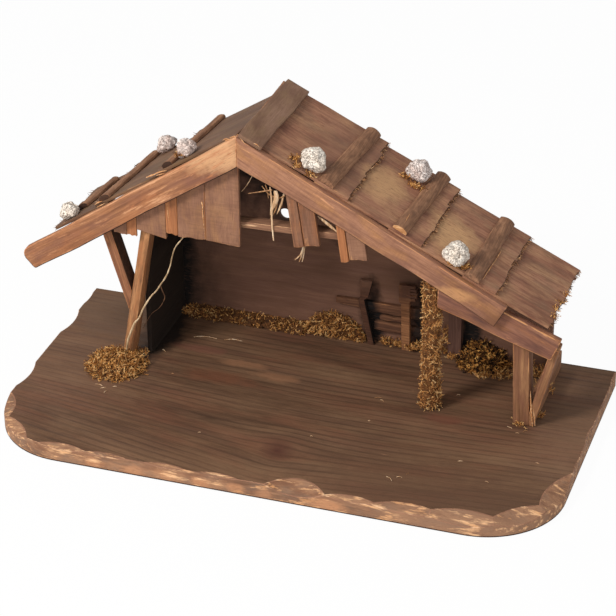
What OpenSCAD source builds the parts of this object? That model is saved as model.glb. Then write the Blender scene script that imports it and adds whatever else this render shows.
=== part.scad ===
/* [Base board] */
// Width of the base board, left to right
base_w = 600; // [560:5:800]
// Depth of the base board, front to back
base_d = 318; // [290:2:420]
// Thickness of the base board
base_t = 18; // [14:1:28]
// Radius of the two rounded front corners
corner_r = 84; // [40:1:110]
// Spacing of the drawknife facets along the edge
facet_pitch = 58; // [48:1:80]
// How far the deepest facet reaches in from the front edge
facet_w = 20; // [10:1:26]
// Depth of the deepest facet at the front edge
facet_drop = 8; // [4:0.5:10]
// Depth of the gouges in the left side
left_gouge = 5; // [2:0.5:8]
// Depth of the gouges in the right side
right_gouge = 2.5; // [1:0.5:5]

/* [Stable] */
// Bare strip of base behind the back wall
back_gap = 10; // [6:1:30]
// Distance from the barge boards' faces to the back wall
room_d = 134; // [120:1:150]
// How far left of the middle the ridge lies
apex_shift = 70.8; // [40:1:100]
// Height of the barge boards' peak above the base
apex_h = 292.4; // [270:1:340]
// Thickness of the back wall
wall_t = 6; // [4:0.5:9]
// Thickness of the left side wall
side_t = 5; // [4:0.5:9]
// Where the inner face of the left wall stands
left_wall_x = -186; // [-194:1:-178]
// Where the outer face of the right sill stands
right_sill_x = 242; // [239:0.5:250]
// Height of the sill along the open right side
sill_h = 21.5; // [12:0.5:40]
// Thickness of the sill
sill_t = 10; // [5:0.5:11]
// Radius of the lamp hole in the back wall
lamp_r = 7; // [5:0.5:14]
// Height of the lamp hole's centre above the base
lamp_h = 139; // [110:1:160]

/* [Roof] */
// Slope of the left roof, in degrees
slope_left = 34.4; // [32:0.2:37]
// Slope of the right roof, in degrees
slope_right = 27.7; // [26:0.1:29]
// How much the left roof falls towards the back, in degrees
left_fall = 4.3; // [3:0.1:6]
// Length of the left roof down its slope
roof_left_len = 250; // [240:1:265]
// Length of the right roof down its slope
roof_right_len = 366; // [358:1:380]
// Depth of the roof behind the barge boards
roof_d = 135.5; // [130:0.5:150]
// Thickness of the roof boards
board_t = 3.2; // [2:0.1:5]
// Step from one course of roof boards to the next
course_pitch = 88; // [80:1:92]
// Length of a full board on the right roof
course_right_len = 128; // [110:1:140]
// Length of a full board on the left roof
course_left_len = 106; // [98:1:120]
// Depth of the splinters on the boards' lower ends
splinter = 5; // [1:0.5:8]
// Width of the board that covers the ridge
ridge_w = 27; // [18:1:36]
// Thickness of the ridge board
ridge_t = 5; // [3:0.5:8]
// Width of a half-round batten on the right roof
batten_w = 17; // [12:1:22]
// Width of a half-round batten on the left roof
small_batten_w = 13; // [9:1:18]
// Height of the battens above the boards
batten_h = 6; // [4:0.5:8]

/* [Barge boards] */
// Thickness of the barge boards
barge_t = 8; // [5:0.5:12]
// Width of the left barge board at the peak
barge_left_w = 28.3; // [24:0.5:34]
// Width of the right barge board at the peak
barge_right_w = 30.4; // [26:0.5:36]
// Length of the left barge board along its top edge
barge_left_len = 300.5; // [285:0.5:310]
// Length of the right barge board along its top edge
barge_right_len = 320; // [300:1:335]
// Radius of the left barge board's rounded end
barge_end_r = 9; // [4:0.5:11]
// Waviness of the hewn edges
hew = 0.8; // [0.2:0.1:1.5]

/* [Frame] */
// Depth of the posts, front to back
post_d = 18; // [12:1:24]
// Width of the left post
left_post_w = 10.5; // [8:0.5:14]
// Where the left post's foot stands
left_post_x = -208.5; // [-214:0.5:-202]
// Lean of the left post towards the middle, in degrees
left_post_lean = 10; // [8:0.5:11]
// Width of the left brace
left_brace_w = 11; // [8:0.5:14]
// Outward lean of the left brace, in degrees
left_brace_lean = 16.5; // [13:0.5:20]
// Height on the left post where the brace joins it
left_brace_h = 73; // [50:1:90]
// Width of the right post
right_post_w = 17; // [12:0.5:22]
// Where the right post's foot stands
right_post_x = 228.4; // [222:0.5:231]
// Lean of the right post towards the middle, in degrees
right_post_lean = 2; // [0:0.5:4]
// Width of the right brace
right_brace_w = 8.6; // [6:0.5:12]
// Outward lean of the right brace, in degrees
right_brace_lean = 13.8; // [9:0.5:15]
// Side of the square mossy post
mossy_post_w = 12; // [9:0.5:16]
// Where the mossy post stands
mossy_post_x = 129; // [122:0.5:140]
// Width of the back post
back_post_w = 14; // [9:0.5:18]
// Thickness of the lower rafter
rafter_t = 8; // [5:0.5:10]
// Width of the lower rafter at its outer end
rafter_w = 26; // [22:0.5:32]
// Height left between the lower rafter and the last roof board
rafter_gap = 3; // [1:0.5:6]
// Slope of the lower rafter's top edge, in degrees
rafter_slope = 21.9; // [20:0.1:24]
// Height of the tie beam
tie_h = 6.8; // [5:0.2:10]
// Depth of the tie beam, front to back
tie_d = 14; // [8:1:18]
// Height of the tie beam's top at the ridge
tie_up = 188.4; // [180:0.2:196]

/* [Planks and fence] */
// Thickness of the gable planks
plank_t = 5; // [3:0.5:8]
// Height of the gable planks' lower ends above the base
plank_up = 165; // [150:1:175]
// How far left of the ridge the gable planks reach
plank_run = 142; // [135:1:146]
// Width of a pair of hanging slats
hanger_w = 26.5; // [20:0.5:30]
// Lean of the hanging slats, in degrees
hanger_lean = 8; // [4:0.5:11]
// Height of the fence posts
fence_h = 80; // [60:1:95]
// Thickness of the fence posts and rails
fence_t = 5; // [3:0.5:6]
// Length of the fence's top rail
fence_w = 98; // [90:1:104]
// Height of the fence's top rail
rail_h = 10; // [6:0.5:12]

/* [Dressing] */
// Size of the largest roof stone
stone_d = 27; // [18:1:34]
// Thickness of the moss round the mossy post
moss_t = 4; // [2:0.5:7]
// Radius of the moss pile at the left foot
pile_r = 31; // [24:1:36]
// Height of the moss pile at the left foot
pile_h = 16; // [12:1:24]
// Height of the moss along the back wall
edging_h = 9; // [6:1:16]
// Thickness of the twig at its foot
twig_d = 3.4; // [2.4:0.2:5]

/* [Hidden] */

$fn = 48;
// Larger than the whole stable, for cuts that run right through
big = base_w + base_d;
// Gap left between pieces that lie against each other at a slope
lap_gap = 0.1;
// Gap between neighbouring planks
plank_gap = 0.4;
// Gap between moss or stones and what they lie on
rest_gap = 0.2;

// The planes of the stable, from front to back
wall_y = base_d / 2 - back_gap - wall_t;
face_y = wall_y - room_d;
frame_y = face_y + barge_t;
post_y = frame_y + rafter_t;
apex_x = -apex_shift;
apex_z = base_t + apex_h;

// The roof boards lie in a plane this far below the barge boards' top edges
roof_sink = board_t - rest_gap;
left_origin_z = apex_z - roof_sink / cos(slope_left);
right_origin_z = apex_z - roof_sink / cos(slope_right);
// Tilt of each board that lets it ride over the next one
lap_tilt = asin((board_t + lap_gap) / course_pitch);
// Height that the left roof loses from front to back, at one x
left_drop = roof_d * tan(left_fall) / cos(slope_left);
// How far the left boards tuck under the right ones at the back, down the slope
tuck_drop = board_t * (cos(slope_left) - sin(slope_left) * tan(slope_right)) + 2 * plank_gap;
tuck_front = tuck_drop / (tan(slope_left) + tan(slope_right)) / cos(slope_left);
tuck_back = ((tuck_drop - left_drop) / (tan(slope_left) + tan(slope_right))
    + roof_d * sin(left_fall) * sin(slope_left)) / cos(slope_left);
// Sideways run of the left roof's edges over the roof's depth, as a share of it
left_skew_share = 0.085;
right_skew_share = 0.02;
// Depth of each course, as shares of the roof's depth
left_depth_shares = [1, 0.97, 0.9];
right_depth_shares = [1, 0.99, 0.955, 0.935];

function course_len(k, full, whole) = min(full, whole - k * course_pitch);

// Underside of the right roof, and of the left roof at the depth y behind its front
function right_under(x) = right_origin_z - (x - apex_x) * tan(slope_right);
function left_under(x, y) = left_origin_z - (apex_x - x) * tan(slope_left)
    - (y - frame_y) * tan(left_fall) / cos(slope_left);

// A slow wave and a quick one along a hewn edge, from -1 to 1 at the share f of its length
function wave(f, seed) = 0.6 * sin(360 * 1.7 * f + 83 * seed) + 0.4 * sin(360 * 4.3 * f + 47 * seed);
// An uneven number from 0 to 1 for the step i
function tooth(i, seed) = abs(sin(97 * i + 31 * seed)) * (0.45 + 0.55 * abs(sin(23 * i + 61 * seed)));

// A board that stands upright in the plane of the walls, drawn in x and z
module upright(y, t) {
    translate([0, y + t, 0]) rotate([90, 0, 0]) linear_extrude(t) children();
}

// Takes away all that would stand above the undersides of the roofs
module under_roof() {
    difference() {
        children();
        translate([apex_x, frame_y, left_origin_z]) rotate([-left_fall, -slope_left, 0])
            translate([-big, -big, -lap_gap]) cube([2 * big, 2 * big, big]);
        translate([apex_x, frame_y, right_origin_z]) rotate([0, slope_right, 0])
            translate([-big, -big, -lap_gap]) cube([2 * big, 2 * big, big]);
    }
}

// Frames that lie on a course of roof boards: x down the slope, y to the back, z off the board
module on_right_course(k) {
    translate([apex_x, frame_y, right_origin_z]) rotate([0, slope_right, 0])
        translate([k * course_pitch, 0, 0]) rotate([0, -lap_tilt, 0]) children();
}

module on_left_course(k) {
    translate([apex_x, frame_y, left_origin_z]) rotate([-left_fall, -slope_left, 0])
        translate([-k * course_pitch, 0, 0]) rotate([0, lap_tilt, 0]) mirror([1, 0, 0]) children();
}

// Base board: a plank with two round corners, whose top arris is hewn away in scoops

// Outline of the board, with a round at each front corner
module base_outline() {
    half_w = base_w / 2;
    half_d = base_d / 2;
    translate([-half_w, corner_r - half_d]) square([base_w, base_d - corner_r]);
    translate([corner_r - half_w, -half_d]) square([base_w - 2 * corner_r, base_d]);
    for (side = [-1, 1])
        translate([side * (half_w - corner_r), corner_r - half_d]) circle(corner_r, $fn = 96);
}

// The hewn edge runs forward along a side, round a corner and along the front to the middle
edge_side = base_d - corner_r;
edge_arc = corner_r * PI / 2;
edge_front = base_w / 2 - corner_r;
edge_run = edge_side + edge_arc + edge_front;
facet_count = floor(edge_run / facet_pitch);
// Slope of the front facets, and of the gouges in the sides
front_slope = atan(facet_drop / facet_w);
side_slope = 76;
// Radius of the scoop whose chord is a little longer than the pitch
facet_bite = facet_w * sin(front_slope);
scoop_r = facet_pitch * facet_pitch * 0.16 / facet_bite;

// Place and outward turn of the edge at the distance s along the right half
function edge_x(s) = s < edge_side ? base_w / 2
    : s < edge_side + edge_arc ? edge_front + corner_r * cos((s - edge_side) / corner_r * 180 / PI)
    : edge_front - (s - edge_side - edge_arc);
function edge_y(s) = s < edge_side ? base_d / 2 - s
    : s < edge_side + edge_arc
        ? corner_r - base_d / 2 - corner_r * sin((s - edge_side) / corner_r * 180 / PI)
    : -base_d / 2;
function edge_turn(s) = s < edge_side ? 0
    : s < edge_side + edge_arc ? -(s - edge_side) / corner_r * 180 / PI : -90;

// The front facets of each half: how far round from the side to the middle of the front, the
// bite and the radius, as shares of the deepest facet's
right_facet_shares = [[0, 0.9, 2.6], [0.4, 0.9, 2.6], [0.6, 0.45, 2.2], [0.8, 0.3, 1.8], [0.84, 1, 1]];
left_facet_shares = [[0, 0.6, 1.6], [0.3, 0.5, 2], [0.5, 0.25, 2], [1, 0.2, 2.2]];

// One facet: a shallow scoop whose axis points outwards and down across the arris
module facet_cut(s, gouge, shares, seed) {
    front = s > edge_side;
    slope = front ? front_slope : side_slope;
    f = (s - edge_side) / (edge_run - edge_side);
    bite = front ? facet_bite * lookup(f, [for (share = shares) [share[0], share[1]]])
        : gouge * tooth(seed, 3);
    r = scoop_r * (front ? lookup(f, [for (share = shares) [share[0], share[2]]]) : 1);
    translate([edge_x(s), edge_y(s), base_t]) rotate([0, 0, edge_turn(s)]) rotate([0, slope, 0])
        translate([0, 0, r - bite]) rotate([0, 90, 0])
            cylinder(r = r, h = 4 * facet_w, center = true, $fn = 96);
}

// How far the facets lie back from an even row, as a share of their pitch
facet_shift_share = 0.25;

module base_board() {
    color("#5e4634") difference() {
        linear_extrude(base_t) base_outline();
        for (i = [0:facet_count - 1]) {
            s = (i + 0.5) * edge_run / facet_count;
            facet_cut(s - facet_pitch * facet_shift_share, right_gouge, right_facet_shares, i);
            mirror([1, 0, 0])
                facet_cut(s - facet_pitch * facet_shift_share * tooth(i, 5), left_gouge,
                    left_facet_shares, i + facet_count);
        }
    }
}

// Walls

// How far right of the ridge the lamp hole lies
lamp_shift = 0.66 * lamp_r;

module back_wall() {
    color("#53382e") under_roof() difference() {
        translate([left_wall_x - side_t, wall_y, base_t])
            cube([right_sill_x - sill_t - left_wall_x + side_t, wall_t, apex_h]);
        translate([apex_x + lamp_shift, wall_y - wall_t, base_t + lamp_h]) rotate([-90, 0, 0])
            cylinder(r = lamp_r, h = 3 * wall_t);
    }
}

module left_side_wall() {
    color("#4a3228") under_roof() translate([left_wall_x - side_t, post_y + post_d, base_t])
        cube([side_t, wall_y - post_y - post_d, apex_h]);
}

module right_sill() {
    color("#6b4a36") translate([right_sill_x - sill_t, post_y + post_d, base_t])
        cube([sill_t, wall_y + wall_t - post_y - post_d, sill_h]);
}

// Posts and braces

// A leaning bar from the base up, whose foot is centred on x
module leaning_bar(x, w, lean) {
    top = apex_h * tan(lean);
    translate([x, base_t]) polygon([[-w / 2, 0], [w / 2, 0], [w / 2 + top, apex_h], [top - w / 2, apex_h]]);
}

// All that lies on one side of a leaning post's face, side 1 to the right and -1 to the left
module beside_face(x, lean, side) {
    top = apex_h * tan(lean);
    translate([x, base_t]) polygon([[0, -base_t], [0, 0], [top, apex_h], [side * big, apex_h],
        [side * big, -base_t]]);
}

module left_post() {
    color("#8a5a3c") under_roof() upright(post_y, post_d)
        leaning_bar(left_post_x, left_post_w, left_post_lean);
}

module left_brace() {
    face_x = left_post_x - left_post_w / 2;
    joint_x = face_x + left_brace_h * tan(left_post_lean);
    foot_x = joint_x + left_brace_h * tan(left_brace_lean);
    color("#94603f") under_roof() upright(post_y, post_d) difference() {
        leaning_bar(foot_x, left_brace_w / cos(left_brace_lean), -left_brace_lean);
        beside_face(face_x - lap_gap, left_post_lean, 1);
    }
}

// The post and brace on the right end behind the lower rafter
module below_rafter() {
    drop = 0.68 * rafter_w;
    difference() {
        children();
        translate([rafter_end_x, rafter_end_z - drop]) rotate(-rafter_slope)
            translate([-big, 0]) square([2 * big, big]);
    }
}

module right_post() {
    color("#7d573f") upright(post_y, post_d) below_rafter()
        leaning_bar(right_post_x, right_post_w, -right_post_lean);
}

module right_brace() {
    face_x = right_post_x + right_post_w / 2;
    color("#8a6246") upright(post_y, post_d) below_rafter() difference() {
        leaning_bar(face_x, right_brace_w / cos(right_brace_lean), right_brace_lean);
        beside_face(face_x + lap_gap, -right_post_lean, -1);
    }
}

// The mossy post stands a little behind the rafter
mossy_setback = post_d / 9;
mossy_post_y = post_y + mossy_setback;

module mossy_post() {
    color("#6d4a33") under_roof() translate([mossy_post_x - mossy_post_w / 2, mossy_post_y, base_t])
        cube([mossy_post_w, mossy_post_w, apex_h]);
}

// The back post stands farther left than the mossy one
back_post_shift = 0.2 * back_post_w;
back_post_d = 0.65 * back_post_w;
back_post_x = mossy_post_x - mossy_post_w / 2 - back_post_shift;

module back_post() {
    color("#5b3d31") under_roof() translate([back_post_x, wall_y - back_post_d, base_t])
        cube([back_post_w, back_post_d, apex_h]);
}

// Beams behind the barge boards

// Slope of the tie beam, which rises to the right, in degrees
tie_slope = 1.4;

module tie_beam() {
    left_face = left_post_x + left_post_w / 2 + tie_up * tan(left_post_lean);
    right_face = mossy_post_x - mossy_post_w / 2;
    up = base_t + tie_up;
    color("#7b5a48") under_roof() upright(post_y, tie_d) difference() {
        translate([apex_x, up]) rotate(tie_slope) translate([-big, -tie_h]) square([2 * big, tie_h]);
        beside_face(left_post_x + left_post_w / 2 + lap_gap, left_post_lean, -1);
        translate([right_face, up - big]) square([big, 2 * big]);
    }
}

// The rafter runs under the last roof board, and its end hangs over past the eave
eave_x = apex_x + roof_right_len * cos(slope_right);
rafter_hang = 0.55 * rafter_w;
rafter_end_x = eave_x + rafter_hang;
rafter_end_z = right_under(eave_x) - rafter_gap - rafter_hang * tan(rafter_slope);
rafter_inner_w = 1.26 * rafter_w;
// Radius of the moss round the mossy post, which the rafter's inner end stops against
post_moss_r = 0.55 * mossy_post_w + 0.7 * moss_t;

module lower_rafter() {
    run = (rafter_end_x - mossy_post_x) / cos(rafter_slope);
    color("#7a5443") upright(frame_y, rafter_t) intersection() {
        translate([rafter_end_x, rafter_end_z]) rotate(180 - rafter_slope) polygon([
            for (i = [0:8]) let (f = i / 8) [f * run, hew / 2 * (wave(f, 4) - 1)],
            for (i = [8:-1:0]) let (f = i / 8)
                [f * run, rafter_w + (rafter_inner_w - rafter_w) * f + hew * wave(f, 7)]]);
        translate([mossy_post_x + post_moss_r + rest_gap, 0]) square([big, big]);
    }
}

ridge_beam_w = 1.5 * barge_t;

// A pole under the ridge that carries the upper ends of the boards
module ridge_beam() {
    color("#5b3d31") under_roof() translate([apex_x - ridge_beam_w / 2, post_y, apex_z - 3 * ridge_beam_w])
        cube([ridge_beam_w, wall_y - lap_gap - post_y, 3 * ridge_beam_w]);
}

// Barge boards

// Width of each board along its length, as shares of its width at the peak
left_width_shares = [[0, 1], [0.3, 0.97], [0.68, 0.935], [0.92, 0.92], [1, 0.9]];
right_width_shares = [[0, 1], [0.25, 0.89], [0.47, 0.84], [0.7, 0.79], [0.85, 0.82], [1, 0.88]];

// Outline of a barge board that runs down to the right from the peak, with a rounded upper
// corner at its end
module barge_outline(slope, len, w, shares, end_r, seed) {
    steps = 24;
    end_w = w * shares[len(shares) - 1][1];
    foot = len - end_r / 3;
    intersection() {
        translate([apex_x, apex_z]) rotate(-slope) polygon([
            [-w, 0],
            for (i = [0:steps]) let (f = i / steps)
                [f * (len - end_r), -hew * 0.6 * (1 - wave(f, seed))],
            for (a = [60:-20:0]) [len - end_r + end_r * cos(a), -end_r - hew + end_r * sin(a)],
            [foot + end_r / 6, -0.85 * end_w],
            for (i = [steps:-1:0]) let (f = i / steps)
                [f * foot, -w * lookup(f, shares) + hew * wave(f, seed + 1)],
            [-w, -w]]);
        translate([apex_x, 0]) square([big, big]);
    }
}

module barge_left() {
    color("#a0603e") upright(face_y, barge_t) translate([2 * apex_x, 0]) mirror([1, 0])
        barge_outline(slope_left, barge_left_len, barge_left_w, left_width_shares, barge_end_r, 1);
}

module barge_right() {
    color("#a5714e") upright(face_y, barge_t)
        barge_outline(slope_right, barge_right_len, barge_right_w, right_width_shares, hew, 2);
}

// Gable planks behind the left barge board

// Sides of the planks, as shares of the run to the left of the ridge
plank_side_shares = [0.012, 0.276, 0.494, 0.586, 0.818, 0.896, 1];
// Heights of the planks' right and left lower corners, as shares of the lower end's height
plank_low_shares = [[0.985, 1], [1, 0.995], [1, 1.01], [0.965, 1.0], [0.95, 0.955], [0.95, 0.96]];
// Thickness of the planks, as shares of the full thickness
plank_thick_shares = [1, 0.9, 0.6, 0.95, 0.65, 0.9];

// The planks reach up to the middle of the barge board's width
function plank_top(x) = apex_z - (apex_x - x) * tan(slope_left) - 0.55 * barge_left_w / cos(slope_left);

module gable_plank(i) {
    steps = 6;
    right = apex_x - plank_run * plank_side_shares[i];
    left = apex_x - plank_run * plank_side_shares[i + 1] + plank_gap;
    low = [for (share = plank_low_shares[i]) base_t + plank_up * share];
    color(["#a8755c", "#a27a5e", "#b5713f", "#9c7058", "#b07242", "#946a52"][i])
        upright(frame_y, plank_t * plank_thick_shares[i]) polygon([
            [right, plank_top(right)],
            for (j = [0:steps]) let (f = j / steps)
                [right + (left - right) * f, low[0] + (low[1] - low[0]) * f + hew * wave(f, i)],
            [left, plank_top(left)]]);
}

// Slats that hang behind the right barge board, in two pairs

// Each pair's lower left corner: across, as a share of the right barge board's length from the
// ridge, and up, as a share of the gable planks' height
pair_shares = [[0.178, 1.043], [0.336, 0.988]];
// Each slat's place in its pair, its width, as shares of the pair's, and how much higher it
// ends, as a share of the gable planks' height
slat_shares = [[0, 0.42, 0], [0.45, 0.62, 0.008], [0, 0.33, 0], [0.36, 0.72, 0.017]];

module hanging_slat(i) {
    pair = pair_shares[floor(i / 2)];
    start = hanger_w * slat_shares[i][0];
    w = hanger_w * slat_shares[i][1] - plank_gap;
    low = plank_up * slat_shares[i][2];
    color(["#a8693f", "#84604c", "#b07048", "#9a6a4a"][i])
        upright(frame_y, plank_t * (1 + 0.1 * (i % 2))) intersection() {
            translate([apex_x + barge_right_len * pair[0], base_t + plank_up * pair[1]]) rotate(hanger_lean)
                translate([start, low]) polygon([[0, 0], [w / 2, -hew * wave(i / 4, 6)],
                    [w, hew * wave(i / 4, 2)], [w, apex_h], [0, apex_h]]);
            polygon([[apex_x, 0], [big, 0], [big, right_under(big) - barge_right_w / 2],
                [apex_x, right_origin_z - barge_right_w / 2]]);
        }
}

// Roof boards

// A splintered end breaks off in strands: the place of the edge before strand i, and how much
// of the strand is lost, from 0 to 1, in a slow wave with a few deep nicks
strands = 17;
function strand_edge(i, seed) = i == 0 || i == strands ? i : i + 0.8 * (tooth(i, seed + 9) - 0.5);
function strand_loss(i, seed) = 0.2 + 0.2 * sin(53 * i + 71 * seed) + 0.6 * pow(tooth(i, seed), 6);

// A board of the length len with a splintered lower end, skewed over its depth
module roof_board(len, depth, skew, top_front, top_back, seed) {
    linear_extrude(board_t) polygon([
        [top_front, 0],
        [top_back, depth],
        for (i = [strands - 1:-1:0], side = [1, 0]) let (
            f = (side ? strand_edge(i + 1, seed) : strand_edge(i, seed) + (i > 0 ? 0.15 : 0)) / strands)
            [len + skew * f * depth - splinter * strand_loss(i, seed) * (side ? 0.85 : 1), f * depth]]);
}

module roof_board_left(k) {
    skew = left_skew_share;
    color(["#8a705a", "#80644e", "#775a46"][k]) on_left_course(k)
        roof_board(course_len(k, course_left_len, roof_left_len), roof_d * left_depth_shares[k],
            skew, k == 0 ? tuck_front : 0, k == 0 ? tuck_back : skew * roof_d, k + 1);
}

module roof_board_right(k) {
    skew = right_skew_share;
    color(["#7d5a48", "#85624a", "#82604a", "#765843"][k]) on_right_course(k)
        roof_board(course_len(k, course_right_len, roof_right_len), roof_d * right_depth_shares[k],
            skew, 0, 0, k + 5);
}

// Turn of the ridge board on the roof, in degrees
ridge_turn = -1.5;

module ridge_board() {
    color("#6f5340") on_right_course(0) translate([-hew, -barge_t, board_t]) rotate([0, 0, ridge_turn])
        linear_extrude(ridge_t) polygon([
            for (i = [0:6]) let (f = i / 6) [hew * wave(f, 2), f * (roof_d + barge_t)],
            for (i = [6:-1:0]) let (f = i / 6) [ridge_w + hew * wave(f, 9), f * (roof_d + barge_t)]]);
}

// A split batten that lies on a board and runs to the back, w wide and h high, with a crowned
// top over two straight sides
module batten(w, h, len) {
    r = 0.76 * w;
    rotate([-90, 0, 0]) linear_extrude(len) intersection() {
        translate([0, r - h]) circle(r);
        translate([-w / 2, -h]) square([w, h]);
    }
}

// Places of the battens: course, distance down its board as a share of the course pitch,
// turn in degrees, share of the width, and the start and length as shares of the roof's depth
left_batten_shares = [[0, 1.03, 1.7, 1, 0, 1], [1, 1.02, 1.7, 1.05, 0, 0.93],
    [2, 0.57, 3.4, 1, 0.22, 0.54]];
right_batten_shares = [[0, 1.13, -4, 1, 0, 1.01], [1, 1.12, -3.7, 0.95, 0, 1.01],
    [2, 1.1, -1.6, 1, -0.03, 0.98]];

module batten_left(i) {
    place = left_batten_shares[i];
    color("#5f4638") on_left_course(place[0])
        translate([place[1] * course_pitch, place[4] * roof_d, board_t]) rotate([0, 0, place[2]])
            batten(small_batten_w * place[3], batten_h, roof_d * place[5]);
}

module batten_right(i) {
    place = right_batten_shares[i];
    color("#735543") on_right_course(place[0])
        translate([place[1] * course_pitch, place[4] * roof_d, board_t]) rotate([0, 0, place[2]])
            batten(batten_w * place[3], batten_h, roof_d * place[5]);
}

// Fence that stands before the back wall: rails behind two posts with flared, notched heads

fence_y = wall_y - 2 * fence_t - 2 * rest_gap;
// Height left between the fence's right end and the mossy post
fence_clear = 0.4 * fence_h;
fence_x = mossy_post_x - fence_clear;
fence_post_w = 0.1 * fence_h;

// Where each post's foot stands, as a share of the fence's width, and its lean in degrees
fence_foot_shares = [-0.643, -0.244];
fence_leans = [12.3, 1.1];
// Left and right sides of each post as [up, across], in shares of the fence's height and of a
// post's width: a plain shaft under a wide head
fence_left_shares = [[[0, -0.39], [0.7, -0.39], [0.73, -0.03], [0.99, 0.55]],
    [[0, -0.55], [0.72, -0.6], [0.74, -0.9], [1, -0.87]]];
fence_right_shares = [[[0, 0.39], [0.69, 0.45], [0.72, 1.1], [0.96, 2.25]], [[0, 0.55], [0.75, 0.6]]];
// Tips of the five fingers on the right side of the second post's head, from the lowest up
finger_shares = [1.35, 1.6, 1.7, 1.6, 1.4];
finger_root_share = 0.7;
finger_step_share = 0.048;

// The fingers as [up, across], with a narrow slot below each
function fingers() = [for (i = [0:len(finger_shares) - 1])
    let (low = 1 - (len(finger_shares) - i) * finger_step_share)
        each [[low, finger_root_share], [low + 0.3 * finger_step_share, finger_root_share],
            [low + 0.25 * finger_step_share, finger_shares[i]], [low + finger_step_share, finger_shares[i]]]];

module fence_post(i) {
    right = i == 1 ? concat(fence_right_shares[i], fingers()) : fence_right_shares[i];
    left = fence_left_shares[i];
    color("#6b4334") translate([fence_x + fence_foot_shares[i] * fence_w, 0, base_t])
        upright(fence_y, fence_t) intersection() {
            rotate(fence_leans[i]) polygon([
                for (s = right) [s[1] * fence_post_w, s[0] * fence_h],
                for (j = [len(left) - 1:-1:0]) [left[j][1] * fence_post_w, left[j][0] * fence_h],
                [0, -fence_post_w]]);
            translate([-fence_h, 0]) square([2 * fence_h, 2 * fence_h]);
        }
}

// Rails: heights of the lower edge's left and right ends, left and right ends across, and
// the rail's height at its left and right ends, as shares
rail_shares = [[0.54, 0.445, -1.07, 0, 0.7, 1.45], [0.385, 0.385, -0.56, -0.22, 0.45, 0.45],
    [0.215, 0.2, -0.62, 0, 1, 1.05]];

module fence_rail(i) {
    rail = rail_shares[i];
    left = fence_x + fence_w * rail[2];
    wide = fence_w * (rail[3] - rail[2]);
    color("#6f4a38") upright(fence_y + fence_t + rest_gap / 2, fence_t) polygon([
        for (j = [0:6]) let (f = j / 6)
            [left + f * wide, base_t + fence_h * (rail[0] + (rail[1] - rail[0]) * f) + hew * wave(f, i)],
        for (j = [6:-1:0]) let (f = j / 6)
            [left + f * wide, base_t + fence_h * (rail[0] + (rail[1] - rail[0]) * f)
                + rail_h * (rail[4] + (rail[5] - rail[4]) * f) + hew * wave(f, i + 3)]]);
}

// Stones: lumps with a flat underside that rest on the roof boards

// Each stone: its course, its place down the course pitch and along the roof's depth, and its
// size, as shares, and its turn in degrees
right_stone_shares = [[0, 0.865, 0.12, 1, 0], [1, 0.94, 0.8, 0.95, 70], [2, 0.81, 0.08, 1, 140]];
left_stone_shares = [[2, 0.64, 0.1, 0.75, 50], [1, 0.75, 0.9, 0.75, 160], [0, 0.78, 0.1, 0.8, 270]];

// Knobs of the lump as shares of its size: three coordinates of the middle and a radius
knob_shares = [[0, 0, 0.42, 0.4], [-0.28, 0.12, 0.26, 0.26], [0.26, -0.16, 0.3, 0.28],
    [0.1, 0.28, 0.24, 0.24], [-0.12, -0.26, 0.28, 0.25]];

module stone(size, turn) {
    color("#d8cfc8") intersection() {
        rotate([0, 0, turn]) hull() for (k = knob_shares)
            translate([k[0], k[1], k[2]] * size) sphere(k[3] * size, $fn = 14);
        translate([-size, -size, rest_gap]) cube([2 * size, 2 * size, 2 * size]);
    }
}

module stone_right(i) {
    place = right_stone_shares[i];
    on_right_course(place[0])
        translate([place[1] * course_pitch, place[2] * roof_d, board_t])
            stone(stone_d * place[3], place[4]);
}

module stone_left(i) {
    place = left_stone_shares[i];
    on_left_course(place[0])
        translate([place[1] * course_pitch, place[2] * roof_d, board_t])
            stone(stone_d * place[3], place[4]);
}

// Twig: a thin forked branch from the moss pile up to the gable planks

// Its bends: across from the left post's foot, back from the posts' faces and up, in shares
// of the gable planks' height, and the thickness as a share of the foot's
twig_shares = [[0.004, -0.03, 0.03, 1], [0.029, -0.029, 0.165, 1], [0.055, -0.024, 0.24, 0.95],
    [0.077, -0.021, 0.295, 0.9], [0.103, -0.012, 0.329, 0.85], [0.12, 0.012, 0.377, 0.85],
    [0.148, 0.024, 0.433, 0.85], [0.183, 0.036, 0.488, 0.85], [0.211, 0.045, 0.521, 0.85],
    [0.237, 0.048, 0.565, 0.75], [0.279, 0.048, 0.634, 0.75], [0.311, 0.048, 0.717, 0.7],
    [0.331, 0.036, 0.788, 0.65], [0.36, 0.026, 0.871, 0.6], [0.419, 0.02, 0.958, 0.5],
    [0.445, -0.014, 1.03, 0.4]];
sprig_shares = [[0.237, 0.05, 0.562, 0.5], [0.25, 0.067, 0.495, 0.45], [0.253, 0.079, 0.466, 0.4],
    [0.232, 0.091, 0.411, 0.35], [0.196, 0.097, 0.355, 0.35], [0.151, 0.097, 0.314, 0.3],
    [0.09, 0.079, 0.197, 0.25]];

function twig_point(p) = [left_post_x + plank_up * p[0], post_y + plank_up * p[1],
    base_t + plank_up * p[2]];
function unit(v) = v / norm(v);

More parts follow.
